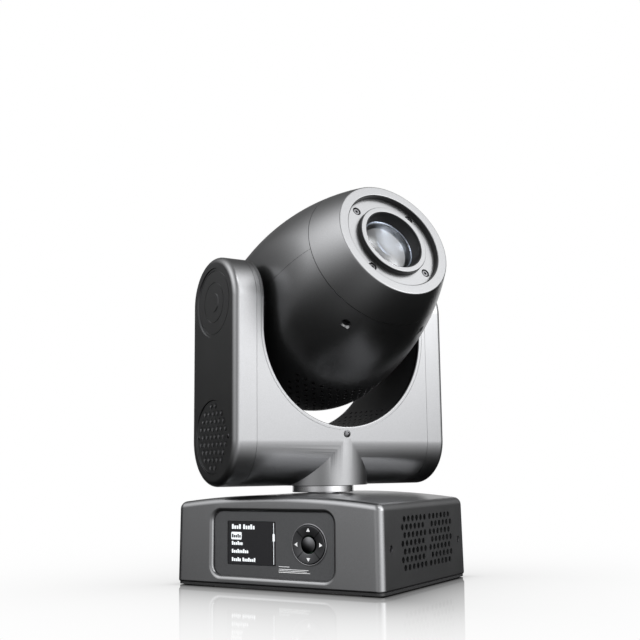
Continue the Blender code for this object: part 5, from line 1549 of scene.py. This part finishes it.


# Black sleeves on the recess wall and on the bezel's outside: painted shade.
sleeve("recess_sleeve", FACE_BORE - 1.5 * SLEEVE, plate_high.z + SLEEVE / 2, face_height - LIP)
sleeve("bezel_sleeve", bezel_radius + SLEEVE / 2, plate_high.z + SLEEVE / 2, face_height - LIP)
rim, bottom, top = SINK_RADIUS - SLEEVE / 2, SLEEVE / 2, SINK_DEPTH - SLEEVE
cup_profile = [(0, bottom), (rim, bottom), (rim, top)]
cup_profile += [(rim - SLEEVE, top), (rim - SLEEVE, bottom + SLEEVE), (0, bottom + SLEEVE)]
# Black cups in the screw sinks: painted shade.
for number, spot in enumerate(screw_spots, 1):
    cup = make_solid(f"sink_cup_{number}", spun_shape(cup_profile, closed=False, steps=40))
    seat = HEAD @ Matrix.Translation(spot + Vector((0, 0, plate_high.z - SINK_DEPTH)))
    finish(cup, seat, "dark_plastic", "head")
# A black throat inside the bezel: painted shade.
mouth = face_height - 0.0010
throat_foot = rim_height + SLEEVE
throat_profile = [
    (BEZEL_BORE - SLEEVE, mouth), (BEZEL_BORE - SLEEVE, straight_foot), (lens_radius + GAP, throat_foot),
    (lens_radius + GAP - SLEEVE, throat_foot), (BEZEL_BORE - 2 * SLEEVE, straight_foot),
    (BEZEL_BORE - 2 * SLEEVE, mouth),
]
throat = make_solid("bezel_throat", spun_shape(throat_profile, steps=FINE))
finish(throat, HEAD, "dark_plastic", "head")

# %% [markdown]
# ## The lens
# A domed front, a short cylindrical edge and a shallow back make the lens. Its profile comes from two
# parabolas, which are close to spheres for so low a dome. It is one closed solid, so that light bends
# in it as in real glass.

# %% Front lens
dome_height = glass_high.z - rim_height
edge_low = rim_height - 0.0012
back_drop = edge_low - glass_low.z
inside = lens_radius - 0.0026
shares = [step / 16 for step in range(17)]
lens_profile = [(lens_radius * s, rim_height + dome_height * (1 - s**2)) for s in shares]
lens_profile.append((lens_radius, edge_low))
lens_profile += [(inside * s, edge_low - back_drop * (1 - s**2)) for s in shares[::-1]]
lens = make_solid("lens", spun_shape(lens_profile, closed=False, steps=FINE))
finish(lens, HEAD, "lens_glass", "head", "front_lens")

# %% [markdown]
# ## The tail
# The back of the head is a dished cover. The fan behind it draws air through a round field of slots in
# three rings. The slots are cut from a spun cap by short boxes laid round the beam.

# %% Rear cover
TAIL_EDGE = 0.0040
SLOT_RINGS = ((0.0115, 6), (0.0195, 10), (0.0275, 14))
SLOT_HALF = (0.0028, 0.0024)
tail_face = tail_low.z
tail_rim = tail_high.z
tail_line = [(head_radius(tail_rim), tail_rim), (head_radius(tail_face + TAIL_EDGE), tail_face + TAIL_EDGE)]
tail_edge = head_radius(tail_face) - TAIL_EDGE / 2
tail_inside = tail_face + HEAD_WALL
tail_profile = tail_line + [(tail_edge, tail_face), (0, tail_face), (0, tail_inside)]
tail_profile += [(tail_edge - TAIL_EDGE, tail_inside), (head_radius(tail_rim) - HEAD_WALL, tail_rim)]
tail = make_solid("tail_cover", spun_shape(eased(tail_profile, 0.0015, closed=False), closed=True))
drills = []
for radius, count in SLOT_RINGS:
    for number in range(count):
        angle = 2 * math.pi * number / count
        low = (radius - SLOT_HALF[0], -SLOT_HALF[1], tail_face - THROUGH)
        slot = box_shape(low, (radius + SLOT_HALF[0], SLOT_HALF[1], tail_face + THROUGH))
        swing(slot, angle, "Z")
        drills.append(slot)
combine(tail, gather(drills))
finish(tail, HEAD, "dark_plastic", "head", "rear_cap")
